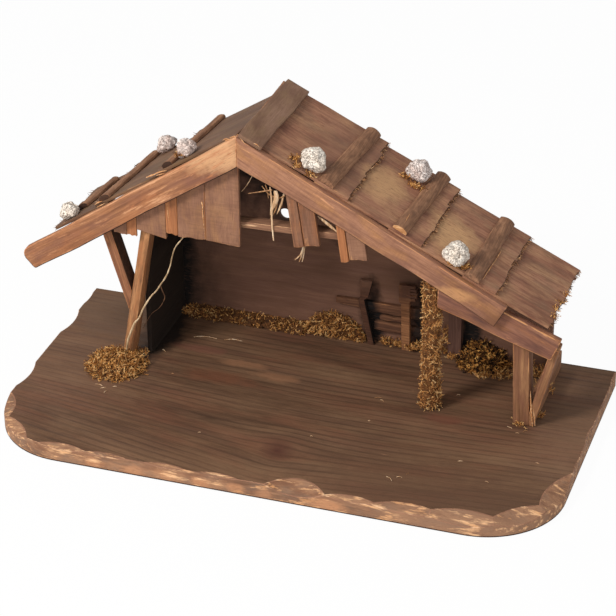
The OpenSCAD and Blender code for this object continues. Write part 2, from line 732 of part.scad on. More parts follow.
// A tube swept along bends, with rings square to the run
module swept(bends, d, sides) {
    points = [for (p = bends) twig_point(p)];
    last = len(points) - 1;
    rings = [for (i = [0:last]) let (
        run = unit(points[min(i + 1, last)] - points[max(i - 1, 0)]),
        across = unit(cross(run, [0, 1, 0])),
        up = cross(across, run),
        r = d / 2 * bends[i][3])
        for (j = [0:sides - 1]) points[i] + r * (across * cos(360 * j / sides) + up * sin(360 * j / sides))];
    polyhedron(points = rings, convexity = 4, faces = [
        [for (j = [0:sides - 1]) j],
        for (i = [0:last - 1], j = [0:sides - 1]) let (k = (j + 1) % sides, a = i * sides, b = a + sides)
            each [[a + j, b + k, a + k], [a + j, b + j, b + k]],
        [for (j = [sides - 1:-1:0]) last * sides + j]]);
}

module twig() {
    color("#cdb79a") union() {
        swept(twig_shares, twig_d, 8);
        swept(sprig_shares, twig_d, 6);
    }
}

// Straw: stalks caught between the gable planks and the tie beam, and a tuft below the slats

straw_r = 0.27 * twig_d;
// Ends of each stalk: across from the ridge and up, as shares of the tie beam's height, and
// its place behind the posts' faces as a share of the tie beam's depth
stalk_shares = [[0.165, 1.247, 0.177, 0.918, -0.085], [0.216, 1.225, 0.162, 1.082, 0.05],
    [0.125, 1.259, 0.147, 1.165, -0.085], [0.032, 1.184, 0.168, 1.236, 0.05],
    [0.194, 1.245, 0.203, 1.076, 0.186], [0.375, 0.955, 0.286, 0.814, -0.085],
    [0.367, 0.966, 0.309, 0.805, 0.06], [0.354, 0.966, 0.326, 0.808, 0.21]];

module straw_bundle() {
    color("#cfae70") for (place = stalk_shares) {
        run = tie_up * (place[2] - place[0]);
        fall = tie_up * (place[3] - place[1]);
        translate([apex_x + tie_up * place[0], post_y + tie_d * place[4], base_t + tie_up * place[1]])
            rotate([0, atan2(run, fall), 0]) cylinder(r = straw_r, h = norm([run, fall]), $fn = 16);
    }
}

// Moss

// Low domes: a cap of the radius r and the height h on the base
module dome(r, h) {
    ball = (r * r + h * h) / (2 * h);
    intersection() {
        translate([0, 0, h - ball]) sphere(ball, $fn = 40);
        cylinder(r = 2 * r, h = 2 * h);
    }
}

pile_x = left_post_x - 0.16 * pile_r;
pile_y = post_y - 0.6 * pile_r;

// The moss pile lies before the left post's foot, and the twig stands in a bore in it
module moss_pile() {
    foot = twig_point(twig_shares[0]);
    run = twig_point(twig_shares[1]) - foot;
    color("#9a7a45") difference() {
        translate([pile_x, pile_y, base_t + rest_gap]) dome(pile_r, pile_h);
        translate([-big, post_y - rest_gap, 0]) cube([2 * big, big, big]);
        translate(foot) rotate([0, acos(run[2] / norm(run)), atan2(run[1], run[0])])
            translate([0, 0, -rest_gap]) cylinder(r = twig_d / 2 + rest_gap, h = 2 * norm(run));
    }
}

// A strip along the foot of the back wall, from left to right, d deep and h high at the wall
module wall_strip(left, right, d, h) {
    ball = (d * d + h * h) / (2 * h);
    translate([left, wall_y - rest_gap, base_t + rest_gap]) rotate([90, 0, 90])
        linear_extrude(right - left) intersection() {
            translate([0, h - ball]) circle(ball, $fn = 96);
            translate([-d, 0]) square([d, h]);
        }
}

heap_x = fence_x - fence_w - edging_h;
heap_r = 3.8 * edging_h;
heap_h = 3 * edging_h;

module moss_edging() {
    color("#7d6540") wall_strip(left_wall_x + edging_h, heap_x - heap_r - rest_gap,
        1.8 * edging_h, edging_h);
}

// A lump that climbs the back wall left of the fence
module moss_heap() {
    ball = (heap_r * heap_r + heap_h * heap_h) / (2 * heap_h);
    color("#7d6540") upright(wall_y - edging_h - rest_gap, edging_h) intersection() {
        translate([heap_x, base_t + rest_gap + heap_h - ball]) circle(ball, $fn = 96);
        translate([heap_x - heap_r, base_t + rest_gap]) square([2 * heap_r, heap_h]);
    }
}

clump_r = 2.8 * edging_h;

module moss_clump() {
    color("#6d5a36") difference() {
        translate([back_post_x + back_post_w + clump_r, wall_y - 0.4 * clump_r, base_t + rest_gap])
            dome(clump_r, 0.85 * clump_r);
        translate([-big, wall_y - rest_gap, 0]) cube([2 * big, big, big]);
        translate([back_post_x - big, 0, 0]) cube([big + back_post_w + rest_gap, big, big]);
    }
}

// Moss wrapped round the mossy post, below the tie beam
module moss_on_post() {
    top = tie_up - 4 * tie_h;
    middle = [mossy_post_x, mossy_post_y + mossy_post_w / 2, base_t + rest_gap];
    color("#94733c") difference() {
        translate(middle) union() {
            cylinder(r = mossy_post_w / 2 * 1.2 + moss_t, h = 0.16 * top);
            cylinder(r = post_moss_r, h = top);
        }
        translate(middle - [mossy_post_w / 2 + rest_gap, mossy_post_w / 2 + rest_gap, base_t])
            cube([mossy_post_w + 2 * rest_gap, mossy_post_w + 2 * rest_gap, apex_h]);
    }
}

base_board();
back_wall();
left_side_wall();
right_sill();
left_post();
left_brace();
right_post();
right_brace();
mossy_post();
back_post();
tie_beam();
lower_rafter();
ridge_beam();
barge_left();
barge_right();
gable_plank(0);  // gable_plank_1
gable_plank(1);  // gable_plank_2
gable_plank(2);  // gable_plank_3
gable_plank(3);  // gable_plank_4
gable_plank(4);  // gable_plank_5
gable_plank(5);  // gable_plank_6
hanging_slat(0);  // hanging_slat_1
hanging_slat(1);  // hanging_slat_2
hanging_slat(2);  // hanging_slat_3
hanging_slat(3);  // hanging_slat_4
roof_board_left(0);  // roof_board_left_1
roof_board_left(1);  // roof_board_left_2
roof_board_left(2);  // roof_board_left_3
roof_board_right(0);  // roof_board_right_1
roof_board_right(1);  // roof_board_right_2
roof_board_right(2);  // roof_board_right_3
roof_board_right(3);  // roof_board_right_4
ridge_board();
batten_left(0);  // batten_left_1
batten_left(1);  // batten_left_2
batten_left(2);  // batten_left_3
batten_right(0);  // batten_right_1
batten_right(1);  // batten_right_2
batten_right(2);  // batten_right_3
fence_post(0);  // fence_post_left
fence_post(1);  // fence_post_right
fence_rail(0);  // fence_rail_top
fence_rail(1);  // fence_rail_middle
fence_rail(2);  // fence_rail_low
stone_right(0);  // stone_1
stone_right(1);  // stone_2
stone_right(2);  // stone_3
stone_left(0);  // stone_4
stone_left(1);  // stone_5
stone_left(2);  // stone_6
twig();
straw_bundle();
moss_pile();
moss_edging();
moss_heap();
moss_clump();
moss_on_post();
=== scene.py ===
import math
import random

import bmesh
import bpy
from mathutils import Euler, Matrix, Vector, noise


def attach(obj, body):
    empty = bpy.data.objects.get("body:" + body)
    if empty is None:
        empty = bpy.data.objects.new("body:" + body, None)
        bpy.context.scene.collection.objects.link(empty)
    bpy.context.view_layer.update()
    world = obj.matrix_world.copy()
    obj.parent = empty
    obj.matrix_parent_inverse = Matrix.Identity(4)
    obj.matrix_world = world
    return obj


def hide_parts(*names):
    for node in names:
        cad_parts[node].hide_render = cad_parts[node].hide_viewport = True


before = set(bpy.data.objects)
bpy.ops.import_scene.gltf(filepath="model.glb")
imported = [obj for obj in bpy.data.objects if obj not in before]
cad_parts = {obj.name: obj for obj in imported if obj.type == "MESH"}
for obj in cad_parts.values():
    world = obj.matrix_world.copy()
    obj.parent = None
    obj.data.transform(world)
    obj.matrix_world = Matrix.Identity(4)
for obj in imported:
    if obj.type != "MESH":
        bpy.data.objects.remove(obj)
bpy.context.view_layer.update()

MM = 0.001

# The slopes of the two roofs and the tilt of a board that laps over the next, in degrees
SLOPE_LEFT = 34.4
SLOPE_RIGHT = 27.7
LAP_TILT = 2.1
# The height of the base board's top, and a plane just before the back wall
BASE_TOP = 18 * MM
WALL_FACE = 142.9 * MM
# Least cosine at which a face counts as looking along a direction
FACING = 0.6

FRONT = Vector((0, -1, 0))
UP = Vector((0, 0, 1))
RIGHT = Vector((1, 0, 0))
BACK = Vector((0, 1, 0))


def leaning(degrees):
    """Direction of a bar that leans to the right of upright, in the plane of the walls."""
    return Vector((math.sin(math.radians(degrees)), 0, math.cos(math.radians(degrees))))


def sloping(degrees):
    """Direction of a bar that falls to the right, in the plane of the walls."""
    return Vector((math.cos(math.radians(degrees)), 0, -math.sin(math.radians(degrees))))


def link_new(name, data):
    """A new object in the scene for a mesh, curve, light or camera."""
    piece = bpy.data.objects.new(name, data)
    bpy.context.scene.collection.objects.link(piece)
    return piece


# Camera

PHOTO_PX = 616
FOCAL_PX = 2445.8
AZIMUTH, ELEVATION, ROLL = (math.radians(a) for a in (18.606, 29.837, -0.473))
CAMERA_TARGET = Vector((-33.31, 118.651, 60)) * MM
CAMERA_DISTANCE = 2648.337 * MM


def place_camera():
    back = Vector((math.sin(AZIMUTH) * math.cos(ELEVATION),
                   -math.cos(AZIMUTH) * math.cos(ELEVATION), math.sin(ELEVATION)))
    level = Vector((math.cos(AZIMUTH), math.sin(AZIMUTH), 0))
    upright = back.cross(level)
    right = level * math.cos(ROLL) + upright * math.sin(ROLL)
    up = upright * math.cos(ROLL) - level * math.sin(ROLL)
    data = bpy.data.cameras.new("camera")
    data.sensor_width = 36
    data.lens = data.sensor_width * FOCAL_PX / PHOTO_PX
    data.clip_end = 20
    camera = link_new("camera", data)
    camera.matrix_world = Matrix.Translation(CAMERA_TARGET + back * CAMERA_DISTANCE) @ \
        Matrix((right, up, back)).transposed().to_4x4()
    bpy.context.scene.camera = camera


# Nodes and colours

def colour(code):
    """An sRGB hex value as a linear colour."""
    parts = [int(code[i:i + 2], 16) / 255 for i in (1, 3, 5)]
    return [p / 12.92 if p <= 0.04045 else ((p + 0.055) / 1.055) ** 2.4 for p in parts] + [1]


def add(tree, kind, inputs=(), output=0, stops=(), **settings):
    """Adds a node with its settings and inputs, each a socket, a number or an sRGB hex value.

    The inputs are in order or by key, stops are a ramp's, each (place, hex), and one output comes back.
    """
    node = tree.nodes.new("ShaderNode" + kind)
    for key, value in settings.items():
        setattr(node, key, value)
    for key, value in inputs.items() if isinstance(inputs, dict) else enumerate(inputs):
        if isinstance(value, bpy.types.NodeSocket):
            tree.links.new(value, node.inputs[key])
        else:
            node.inputs[key].default_value = colour(value) if isinstance(value, str) else value
    elements = node.color_ramp.elements if stops else ()
    while len(elements) < len(stops):
        elements.new(0.5)
    for element, (place, code) in zip(elements, stops):
        element.position = place
        element.color = colour(code)
    return node.outputs[output] if node.outputs else None


def weighted(tree, start, *parts):
    """A number and the sum of (source, weight) parts."""
    for source, weight in parts:
        start = add(tree, "Math", (source, weight, start), operation="MULTIPLY_ADD")
    return start


def cover(tree, stain, code, amount, low, high, share=1.0):
    """Another colour over a stain: none where the amount is at low, and its full share at high."""
    factor = add(tree, "MapRange", (amount, low, high, 0, share))
    return add(tree, "Mix", {0: factor, 6: stain, 7: code}, 2, data_type="RGBA")


def stretched_noise(tree, place, size, detail=2.0, rough=0.5, output=0):
    """Noise whose features have the given size in mm along x, y and z of place."""
    scaled = add(tree, "Mapping", {0: place, "Scale": [1 / (s * MM) for s in size]})
    return add(tree, "TexNoise", {0: scaled, "Scale": 1.0, "Detail": detail, "Roughness": rough}, output)


def distance(tree, place, middle, reach):
    """How far a place is from a middle in mm, where 1 is as far as the reach along x, y and z."""
    scale = [1 / (r * MM) for r in reach]
    offset = [-m / r for m, r in zip(middle, reach)]
    scaled = add(tree, "VectorMath", (place, scale, offset), operation="MULTIPLY_ADD")
    return add(tree, "VectorMath", (scaled,), "Value", operation="LENGTH")


def with_tree(owner):
    """A new material or world, and its node tree, emptied."""
    owner.use_nodes = True
    owner.node_tree.nodes.clear()
    return owner, owner.node_tree


def set_surface(tree, tone, rough, specular, height=None, strength=0.8, deep=0.8):
    """A material's surface: its colour, roughness and shine, and bump from a height, at most deep mm."""
    inputs = {"Base Color": tone, "Roughness": rough, "Specular IOR Level": specular}
    if height is not None:
        inputs["Normal"] = add(tree, "Bump", {"Strength": strength, "Distance": deep * MM, "Height": height})
    add(tree, "OutputMaterial", (add(tree, "BsdfPrincipled", inputs),))


# Woods

# The base board's grain bows round this x, as softly as this radius
BOW_MIDDLE = 10 * MM
BOW_ROUND = 60 * MM


def wood(name, tones, worn, ring=4.0, wear=0.2, rough=0.8, streak=0.45, patch=(60, 22), patches=(),
         lines=None, turn=None, bend=False, knot=None, drift=14, saw=0.0, pores=0.4, spots=(),
         hidden=None):
    """Stained, weathered softwood, sawn and brushed: dull, with early-wood streaks ring mm apart.

    tones are the stain in its dark, middle and light streaks and worn is the bare wood where it has
    rubbed off. A board carries its own grain coordinates; a CAD node is read in object space, turned.
    patches are broad stains, each (hex, strength), patch mm long and wide, and lines are late-wood
    lines: how many mm apart, how dark, and how uneven in radians. drift is how far in mm the streaks
    wander sideways, saw is how dark the saw's marks across the grain are, pores is how dark the short
    open pores are, and spots are stains, painted shade and painted light at places of the row frame,
    none of them farther back than hidden. bend and knot are for the base board's grain. The fibres
    are coarser than real, to show.
    """
    material, tree = with_tree(bpy.data.materials.new(name))
    if turn is None:
        place = add(tree, "Attribute", output="Vector", attribute_name="grain")
    else:
        place = add(tree, "TexCoord", output="Object")
        place = add(tree, "Mapping", {0: place, "Rotation": [math.radians(a) for a in turn]})
    if bend:
        place = bend_grain(tree, place)
    if knot:
        place, far = round_knot(tree, place, *knot)
    wander = stretched_noise(tree, place, (140, 50, 50), 1, output=1)
    place = add(tree, "VectorMath", (wander, (0, drift * MM, drift * MM), place), operation="MULTIPLY_ADD")
    rings = stretched_noise(tree, place, (ring * 32, ring, ring), 2.5, 0.55)
    fibre = stretched_noise(tree, place, (20, 1.1, 1.1), 3)
    broad = stretched_noise(tree, place, (patch[0] * 1.6, patch[1] * 1.6, patch[1] * 1.6), 2)
    shade = weighted(tree, 0, (rings, streak), (fibre, 0.24), (broad, 0.76 - streak))
    stain = add(tree, "ValToRGB", (shade,), stops=list(zip((0.36, 0.5, 0.64), tones)))
    for i, (code, strength) in enumerate(patches):
        moved = add(tree, "Mapping", {0: place, "Location": (0.31 * i, 0.17 * i, 0.23 * i)})
        area = stretched_noise(tree, moved, (patch[0], patch[1], patch[1]), 3, 0.6)
        stain = cover(tree, stain, code, area, 0.47, 0.68, strength)
    if lines:
        across = add(tree, "SeparateXYZ", (place,), 1)
        phase = weighted(tree, 0, (across, math.tau / (lines[0] * MM)), (rings, lines[2]))
        wave = add(tree, "Math", (phase,), operation="SINE")
        fade = stretched_noise(tree, place, (110, 26, 26), 2)
        strength = add(tree, "MapRange", (fade, 0.36, 0.6, 0.3 * lines[1], lines[1]))
        stain = cover(tree, stain, tones[0], wave, 0.3, 0.95, strength)
    if knot:
        strength = add(tree, "MapRange", (rings, 0.35, 0.6, 0.6, 1.0))
        stain = cover(tree, stain, "#4d2a20", far, 0.95, 0.1, strength)
    if saw:
        marks = stretched_noise(tree, place, (2.2, 20, 20), 3, 0.6)
        stain = cover(tree, stain, tones[0], marks, 0.48, 0.62, saw)
    stain = soft_spots(tree, stain, spots, hidden)
    specks = stretched_noise(tree, place, (8, 1.0, 1.0), 2, 0.6)
    stain = cover(tree, stain, tones[0], specks, 0.56, 0.68, pores)
    rub = stretched_noise(tree, place, (30, 5, 5), 4, 0.65)
    bare = add(tree, "ValToRGB", (shade,), stops=list(zip((0.4, 0.6), worn)))
    stain = cover(tree, stain, bare, rub, 0.72 - 0.5 * wear, 0.82 - 0.5 * wear)
    dull = add(tree, "MapRange", (rings, 0.3, 0.7, rough - 0.08, rough + 0.08))
    set_surface(tree, stain, dull, 0.3, weighted(tree, 0, (rings, 0.7), (fibre, 0.3)))
    return material


def soft_spots(tree, stain, spots, hidden):
    """Stains, painted shade and painted light, ragged round places of the row frame, each (middle in mm,
    reach in mm, hex, strength).
    """
    place = add(tree, "TexCoord", output="Object")
    ragged = stretched_noise(tree, place, (20, 20, 20), 3, 0.6)
    depth = add(tree, "SeparateXYZ", (place,), 1)
    for middle, reach, code, strength in spots:
        uneven = weighted(tree, -0.6, (ragged, 1.2), (distance(tree, place, middle, reach), 1))
        if hidden:
            strength = add(tree, "MapRange", (depth, (hidden - 1) * MM, hidden * MM, strength, 0))
        stain = cover(tree, stain, code, uneven, 1.0, 0.45, strength)
    return stain


def shifted_across(tree, place, shift):
    """A place moved along its y, across the grain."""
    return add(tree, "VectorMath", (place, add(tree, "CombineXYZ", {1: shift})))


def bend_grain(tree, place):
    """The base board's grain: it comes forward on the left of a knot and runs level on its right."""
    run = weighted(tree, -BOW_MIDDLE, (add(tree, "SeparateXYZ", (place,)), 1))
    reach = add(tree, "Math", (weighted(tree, BOW_ROUND ** 2, (run, run)),), operation="SQRT")
    front = add(tree, "MapRange", (add(tree, "SeparateXYZ", (place,), 1), 60 * MM, -100 * MM, 0.25, 1))
    bow = weighted(tree, 0, (run, 0.05), (reach, -0.15))
    return shifted_across(tree, place, weighted(tree, 0, (bow, front)))


def round_knot(tree, place, x, y, along, across, strength):
    """Bends the grain round a knot at x, y that reaches along and across it, and says how far it is."""
    far = distance(tree, place, (x, y, 0), (along, across, math.inf))
    side = weighted(tree, strength * y * MM, (add(tree, "SeparateXYZ", (place,), 1), -strength))
    shift = add(tree, "Math", (side, weighted(tree, 1, (far, far))), operation="DIVIDE")
    return shifted_across(tree, place, shift), far


def rubbed_pair(name, tones, worn, wear, edge_wear, **rest):
    """The same wood for a board's faces and, more rubbed, for its arrises."""
    return (wood(name, tones, worn, wear=wear, **rest),
            wood(name + "_arris", tones, worn, wear=edge_wear, **rest))


# Boards

def activate(piece):
    bpy.ops.object.select_all(action="DESELECT")
    piece.select_set(True)
    bpy.context.view_layer.objects.active = piece


def merged_copy(node, name):
    """A closed copy of a CAD node's mesh whose flat faces are whole again."""
    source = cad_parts[node].data
    mesh = bpy.data.meshes.new(name)
    mesh.from_pydata([v.co[:] for v in source.vertices], [], [p.vertices[:] for p in source.polygons])
    piece = link_new(name, mesh)
    activate(piece)
    bpy.ops.object.mode_set(mode="EDIT")
    bpy.ops.mesh.select_all(action="SELECT")
    bpy.ops.mesh.remove_doubles(threshold=0.01 * MM)
    bpy.ops.mesh.dissolve_limited(angle_limit=math.radians(0.5))
    bpy.ops.mesh.normals_make_consistent(inside=False)
    bpy.ops.object.mode_set(mode="OBJECT")
    return piece


def apply_modifier(piece, kind, **settings):
    activate(piece)
    modifier = piece.modifiers.new(kind.lower(), kind)
    for key, value in settings.items():
        setattr(modifier, key, value)
    bpy.ops.object.modifier_apply(modifier=modifier.name)


def slice_at(piece, direction, places):
    """Cuts the mesh across a direction at the given places along it."""
    bm = bmesh.new()
    bm.from_mesh(piece.data)
    for at in places:
        bmesh.ops.bisect_plane(bm, geom=bm.verts[:] + bm.edges[:] + bm.faces[:],
                               plane_co=direction * at, plane_no=direction)
    bm.to_mesh(piece.data)
    bm.free()


def slice_along(piece, direction, step):
    """Cuts the mesh into slices about step apart across a direction, so that it can be made uneven."""
    places = [v.co.dot(direction) for v in piece.data.vertices]
    low, high = min(places), max(places)
    count = int((high - low) / step)
    slice_at(piece, direction, [low + (high - low) * i / (count + 1) for i in range(1, count + 1)])


def roughen(piece, along, amount, seed, long_mm=38, cross_mm=9):
    """Moves the surface in and out by a smooth noise that is stretched along the grain."""
    cross = 1 / (cross_mm * MM)
    for vertex in piece.data.vertices:
        run = along * vertex.co.dot(along)
        spot = (vertex.co - run) * cross + run / (long_mm * MM) + Vector((seed * 7.1, seed * 3.3, 0))
        vertex.co += vertex.normal * amount * noise.noise(spot)


def set_grain(piece, along, face, seed):
    """Gives each point its place in the board's grain, shifted so that no two boards look alike."""
    across = face.cross(along)
    shift = Vector((seed * 0.37, seed * 0.21, seed * 0.13))
    layer = piece.data.attributes.new("grain", "FLOAT_VECTOR", "POINT")
    for vertex, spot in zip(piece.data.vertices, layer.data):
        co = vertex.co
        spot.vector = Vector((co.dot(along), co.dot(across), co.dot(face))) + shift


def finish_piece(piece, slot, *nodes):
    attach(piece, "root")
    if nodes:
        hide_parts(*nodes)


def paint(piece, *materials):
    """Gives a piece these materials and no others."""
    piece.data.materials.clear()
    for material in materials:
        piece.data.materials.append(material)


def mark(piece, material, chosen):
    """Gives another material to the faces that a test picks."""
    piece.data.materials.append(material)
    for face in piece.data.polygons:
        if chosen(face):
            face.material_index = len(piece.data.materials) - 1


def board(node, slot, woods, along, face, seed, bevel=0.8, step=8.0, hewn=0.3, ends=None, under=None,
          shaded=None):
    """A worn board in a CAD board's place: arrises rubbed round and faces uneven as hewn.

    woods are the materials of the faces and of the arrises, which are bevel mm wide. The faces are
    cut into pieces step mm long and moved by up to hewn mm. ends is the material of the faces cut
    across the grain. The arrises that look along under and the faces that look to the shaded side
    get painted shade: a dark material that stands for the shade and shadow lines there.
    """
    piece = merged_copy(node, "worn_" + node)
    paint(piece, *woods)
    apply_modifier(piece, "BEVEL", width=bevel * MM, segments=2, limit_method="ANGLE",
                   angle_limit=math.radians(25), material=1)
    slice_along(piece, along, step * MM)
    slice_along(piece, face.cross(along).normalized(), step * 0.75 * MM)
    roughen(piece, along, hewn * MM, seed)
    set_grain(piece, along, face, seed)
    if ends:
        mark(piece, ends, lambda side: abs(side.normal.dot(along)) > FACING)
    if under:
        mark(piece, SHADE_EDGE_WOOD, lambda side: side.material_index == 1 and side.normal.dot(under) > 0.1)
    if shaded:
        mark(piece, SHADE_EDGE_WOOD, lambda side: side.normal.dot(shaded) > FACING)
    activate(piece)
    bpy.ops.object.shade_smooth_by_angle(angle=math.radians(28))
    finish_piece(piece, slot, node)
    return piece


# Materials of the pieces

# Bare wood where the stain has rubbed off
BARE = ("#a8683c", "#d39a6a")
PALE_BARE = ("#c08a5e", "#ecc49b")

# Barge boards: warm brown, with pale outlines where the stain is rubbed off the arrises
BARGE_LEFT_WOOD = rubbed_pair(
    "stained_pine_barge_left", ("#744931", "#9d6c4c", "#be865e"), ("#b0704a", "#d9a47b"), 0.3, 0.6,
    ring=4.5, patch=(44, 13), lines=(5.5, 0.35, 6), patches=(("#85594a", 0.7), ("#b4744a", 0.5)),
    spots=(((-95, 9, 290), (54, 12, 30), "#dfae82", 0.75),))
BARGE_RIGHT_WOOD = rubbed_pair(
    "stained_pine_barge_right", ("#7b5340", "#9f7158", "#b78567"), ("#b37650", "#d59d74"), 0.2, 0.6,
    ring=4, streak=0.4, patches=(("#7d5647", 0.7), ("#b5804f", 0.5)), patch=(36, 12), lines=(6, 0.2, 6),
    saw=0.2,
    spots=(((157, 9, 169), (26, 9, 8), "#cf9a68", 0.6), ((212, 9, 143), (38, 12, 22), "#714a35", 0.6)))
# Planks and slats: rough-sawn, flat brown or orange, some with faint marks of the saw
PLANK_WOOD = rubbed_pair(
    "stained_pine_planks", ("#6e4b3a", "#8d654f", "#a1775d"), BARE, 0.1, 0.5, ring=5, streak=0.25,
    patches=(("#845c4a", 0.5), ("#aa7c54", 0.5)), patch=(34, 16), saw=0.28)
ORANGE_WOOD = rubbed_pair("stained_pine_orange", ("#8a5839", "#ad7048", "#c78a5e"), BARE, 0.2, 0.6, ring=3)
SLAT_WOOD = rubbed_pair(
    "stained_pine_slats", ("#664533", "#835c47", "#986f55"), BARE, 0.16, 0.55, ring=3.5,
    patches=(("#a0653f", 0.5),), patch=(40, 7), lines=(4, 0.3, 5), saw=0.2)
# Posts, braces and beams: brushed, striped along the grain, honey to red-brown
LEFT_FRAME_WOOD = rubbed_pair(
    "stained_pine_left_frame", ("#7c583b", "#a8774f", "#cf9769"), BARE, 0.22, 0.5, ring=3.5,
    patches=(("#6d4a35", 0.8), ("#c47c50", 0.4)), patch=(30, 8))
BRACE_WOOD = rubbed_pair(
    "stained_pine_brace", ("#6f4933", "#986648", "#b5805a"), BARE, 0.2, 0.5, ring=3.5,
    patches=(("#7d4c39", 0.7),), patch=(30, 8))
RIGHT_FRAME_WOOD = rubbed_pair(
    "stained_pine_right_frame", ("#6a482e", "#906547", "#ac7e58"), BARE, 0.12, 0.45, ring=3.5,
    patches=(("#74493a", 0.6),), patch=(40, 9))
TIE_WOOD = rubbed_pair(
    "stained_pine_tie", ("#6d4b38", "#906850", "#ad8262"), PALE_BARE, 0.15, 0.45, ring=2.5,
    lines=(2.6, 0.4, 4))
RAFTER_WOOD = rubbed_pair(
    "stained_pine_rafter", ("#5f4036", "#855948", "#9d6f57"), BARE, 0.2, 0.6, ring=4,
    patches=(("#573b35", 0.8), ("#a8714a", 0.5)), patch=(45, 12))
# Split shakes, battens and ridge board: weathered dry and dull, with open pores and pale patches
ROOF_WOOD = rubbed_pair(
    "weathered_pine_shakes", ("#744b38", "#9f7057", "#b9896c"), ("#a9744b", "#cb9a6c"), 0.02, 0.3,
    ring=3.5, streak=0.3, patch=(40, 20), lines=(7, 0.35, 9), pores=0.65,
    patches=(("#6b4235", 0.75), ("#7d6650", 0.5), ("#bd916c", 0.6)),
    spots=(
        ((22, 88, 262), (60, 90, 40), "#7a5645", 0.5), ((63, 80, 243), (34, 40, 22), "#cda174", 0.7),
        ((138, 66, 203), (38, 46, 24), "#cda174", 0.8)))
# The left shakes are the same weathered pine in a darker copy, painted shade that offsets the lamps lighting
# this slope more
SHADED_LEFT_ROOF_WOOD = rubbed_pair(
    "weathered_pine_left_shakes_painted_shade", ("#553c2c", "#6d503c", "#84634b"), ("#966a49", "#b98b64"), 0.02, 0.3,
    ring=4, streak=0.28, patch=(40, 20), patches=(("#5d4032", 0.6), ("#70583c", 0.6)), lines=(8, 0.3, 9))
BATTEN_WOOD = rubbed_pair(
    "weathered_pine_battens", ("#62412c", "#8c644a", "#ab7f60"), ("#a0714c", "#c2946c"), 0.08, 0.25,
    ring=3, lines=(3.4, 0.4, 5), patch=(17, 7), patches=(("#5a3d2e", 0.5), ("#ab7f60", 0.5)), pores=0.5)
RIDGE_WOOD = rubbed_pair(
    "weathered_pine_ridge", ("#694b37", "#846450", "#967561"), ("#a0714c", "#c2946c"), 0.04, 0.2, ring=5,
    streak=0.25, patch=(30, 14), drift=6, patches=(("#6f5040", 0.6), ("#917457", 0.5)))
# The fence keeps a deep dark stain. Painted light: the left post's head is lighter, and the right post's
# copy lighter all over, where light falls past a post; that copy is darker at its head. Painted shadow
# blackens the rails beside the posts
POST_FENCE_WOOD = rubbed_pair(
    "stained_pine_fence_posts_and_painted_light", ("#352016", "#4b2e20", "#61402e"), BARE, 0.02, 0.2, ring=2.5,
    lines=(3, 0.6, 3), spots=(((21, 133, 95), (18, 14, 20), "#6a4a39", 0.8),))
LIT_RIGHT_FENCE_WOOD = rubbed_pair(
    "stained_pine_fence_right_painted_light", ("#5f3d26", "#8d5f3f", "#ab7a52"), BARE, 0.06, 0.2, ring=2.5,
    lines=(3, 0.4, 3), spots=(((78, 133, 94), (28, 14, 26), "#523529", 0.9),))
RAIL_WOOD = rubbed_pair(
    "stained_pine_fence_rails_and_painted_shadow", ("#472e22", "#64422f", "#7f583f"), BARE, 0.08, 0.3, ring=2.5,
    spots=(((31, 139, 54), (12, 14, 60), "#080403", 1), ((89, 139, 48), (14, 14, 70), "#0b0604", 0.9)))
# The wall: stained ply, with painted shade in its spots, dark to black in its corner, high under the roof
# and beside the posts in front of it, where no light comes
WALL_WOOD = wood(
    "stained_ply_wall_and_painted_shade", ("#6a4a3a", "#775545", "#86614e"), BARE, ring=6, wear=-0.1, turn=(0, 0, 0),
    patch=(90, 30), patches=(("#60432f", 0.5),), hidden=147,
    spots=(
        ((-192, 143, 60), (62, 30, 260), "#20140e", 0.5), ((-192, 143, 60), (28, 30, 260), "#0c0705", 1),
        ((-40, 143, 245), (190, 30, 115), "#0f0b0b", 1), ((33, 143, 42), (15, 30, 60), "#080403", 1),
        ((91, 143, 50), (20, 30, 66), "#080403", 1), ((142, 143, 50), (15, 30, 60), "#0a0604", 1)))
# The left side wall's inside is painted shade, nearly black, and so is the ridge beam in the loft; its
# outside is plain brown
SHADED_SIDE_WALL_WOOD = wood(
    "stained_ply_side_painted_shade", ("#1a110c", "#231912", "#2f241b"), BARE, ring=6, wear=-0.1, turn=(0, 0, -90),
    patch=(90, 30))
OUTSIDE_WOOD = wood(
    "stained_ply_outside", ("#6a4a3a", "#775545", "#86614e"), BARE, ring=6, wear=-0.1, patch=(90, 30),
    patches=(("#60432f", 0.5),))
# Posts: unworn stain, dull dark brown. Then painted shade for faces and arrises where no light comes,
# dark to almost black
POST_WOOD = wood(
    "stained_pine_posts", ("#4a3128", "#5f4237", "#705144"), BARE, ring=2.5, wear=0, turn=(0, 90, 0))
SHADE_BLACK_WOOD = wood("painted_shade_sides", ("#0d0806", "#150d09", "#22160f"), BARE, wear=-0.1, turn=(0, 0, 0))
SHADE_EDGE_WOOD = wood("painted_shade_edges", ("#2b1a11", "#3d271b", "#523727"), BARE, wear=-0.1, turn=(0, 0, 0))
# Across the grain the same pine takes less stain and looks light; the shakes' ends are painted shade
# instead, dark as the shadow lines under their laps
END_WOOD = wood(
    "broken_pine_ends", ("#8f6038", "#c0895a", "#e3b788"), PALE_BARE, ring=1.2, wear=0.2, turn=(0, 0, 0),
    patch=(6, 6))
SHADED_SHAKE_END_WOOD = wood(
    "split_pine_ends_painted_shade", ("#3a2416", "#64422c", "#93653f"), BARE, ring=1.2, wear=0.2, turn=(0, 0, 0),
    patch=(5, 5))

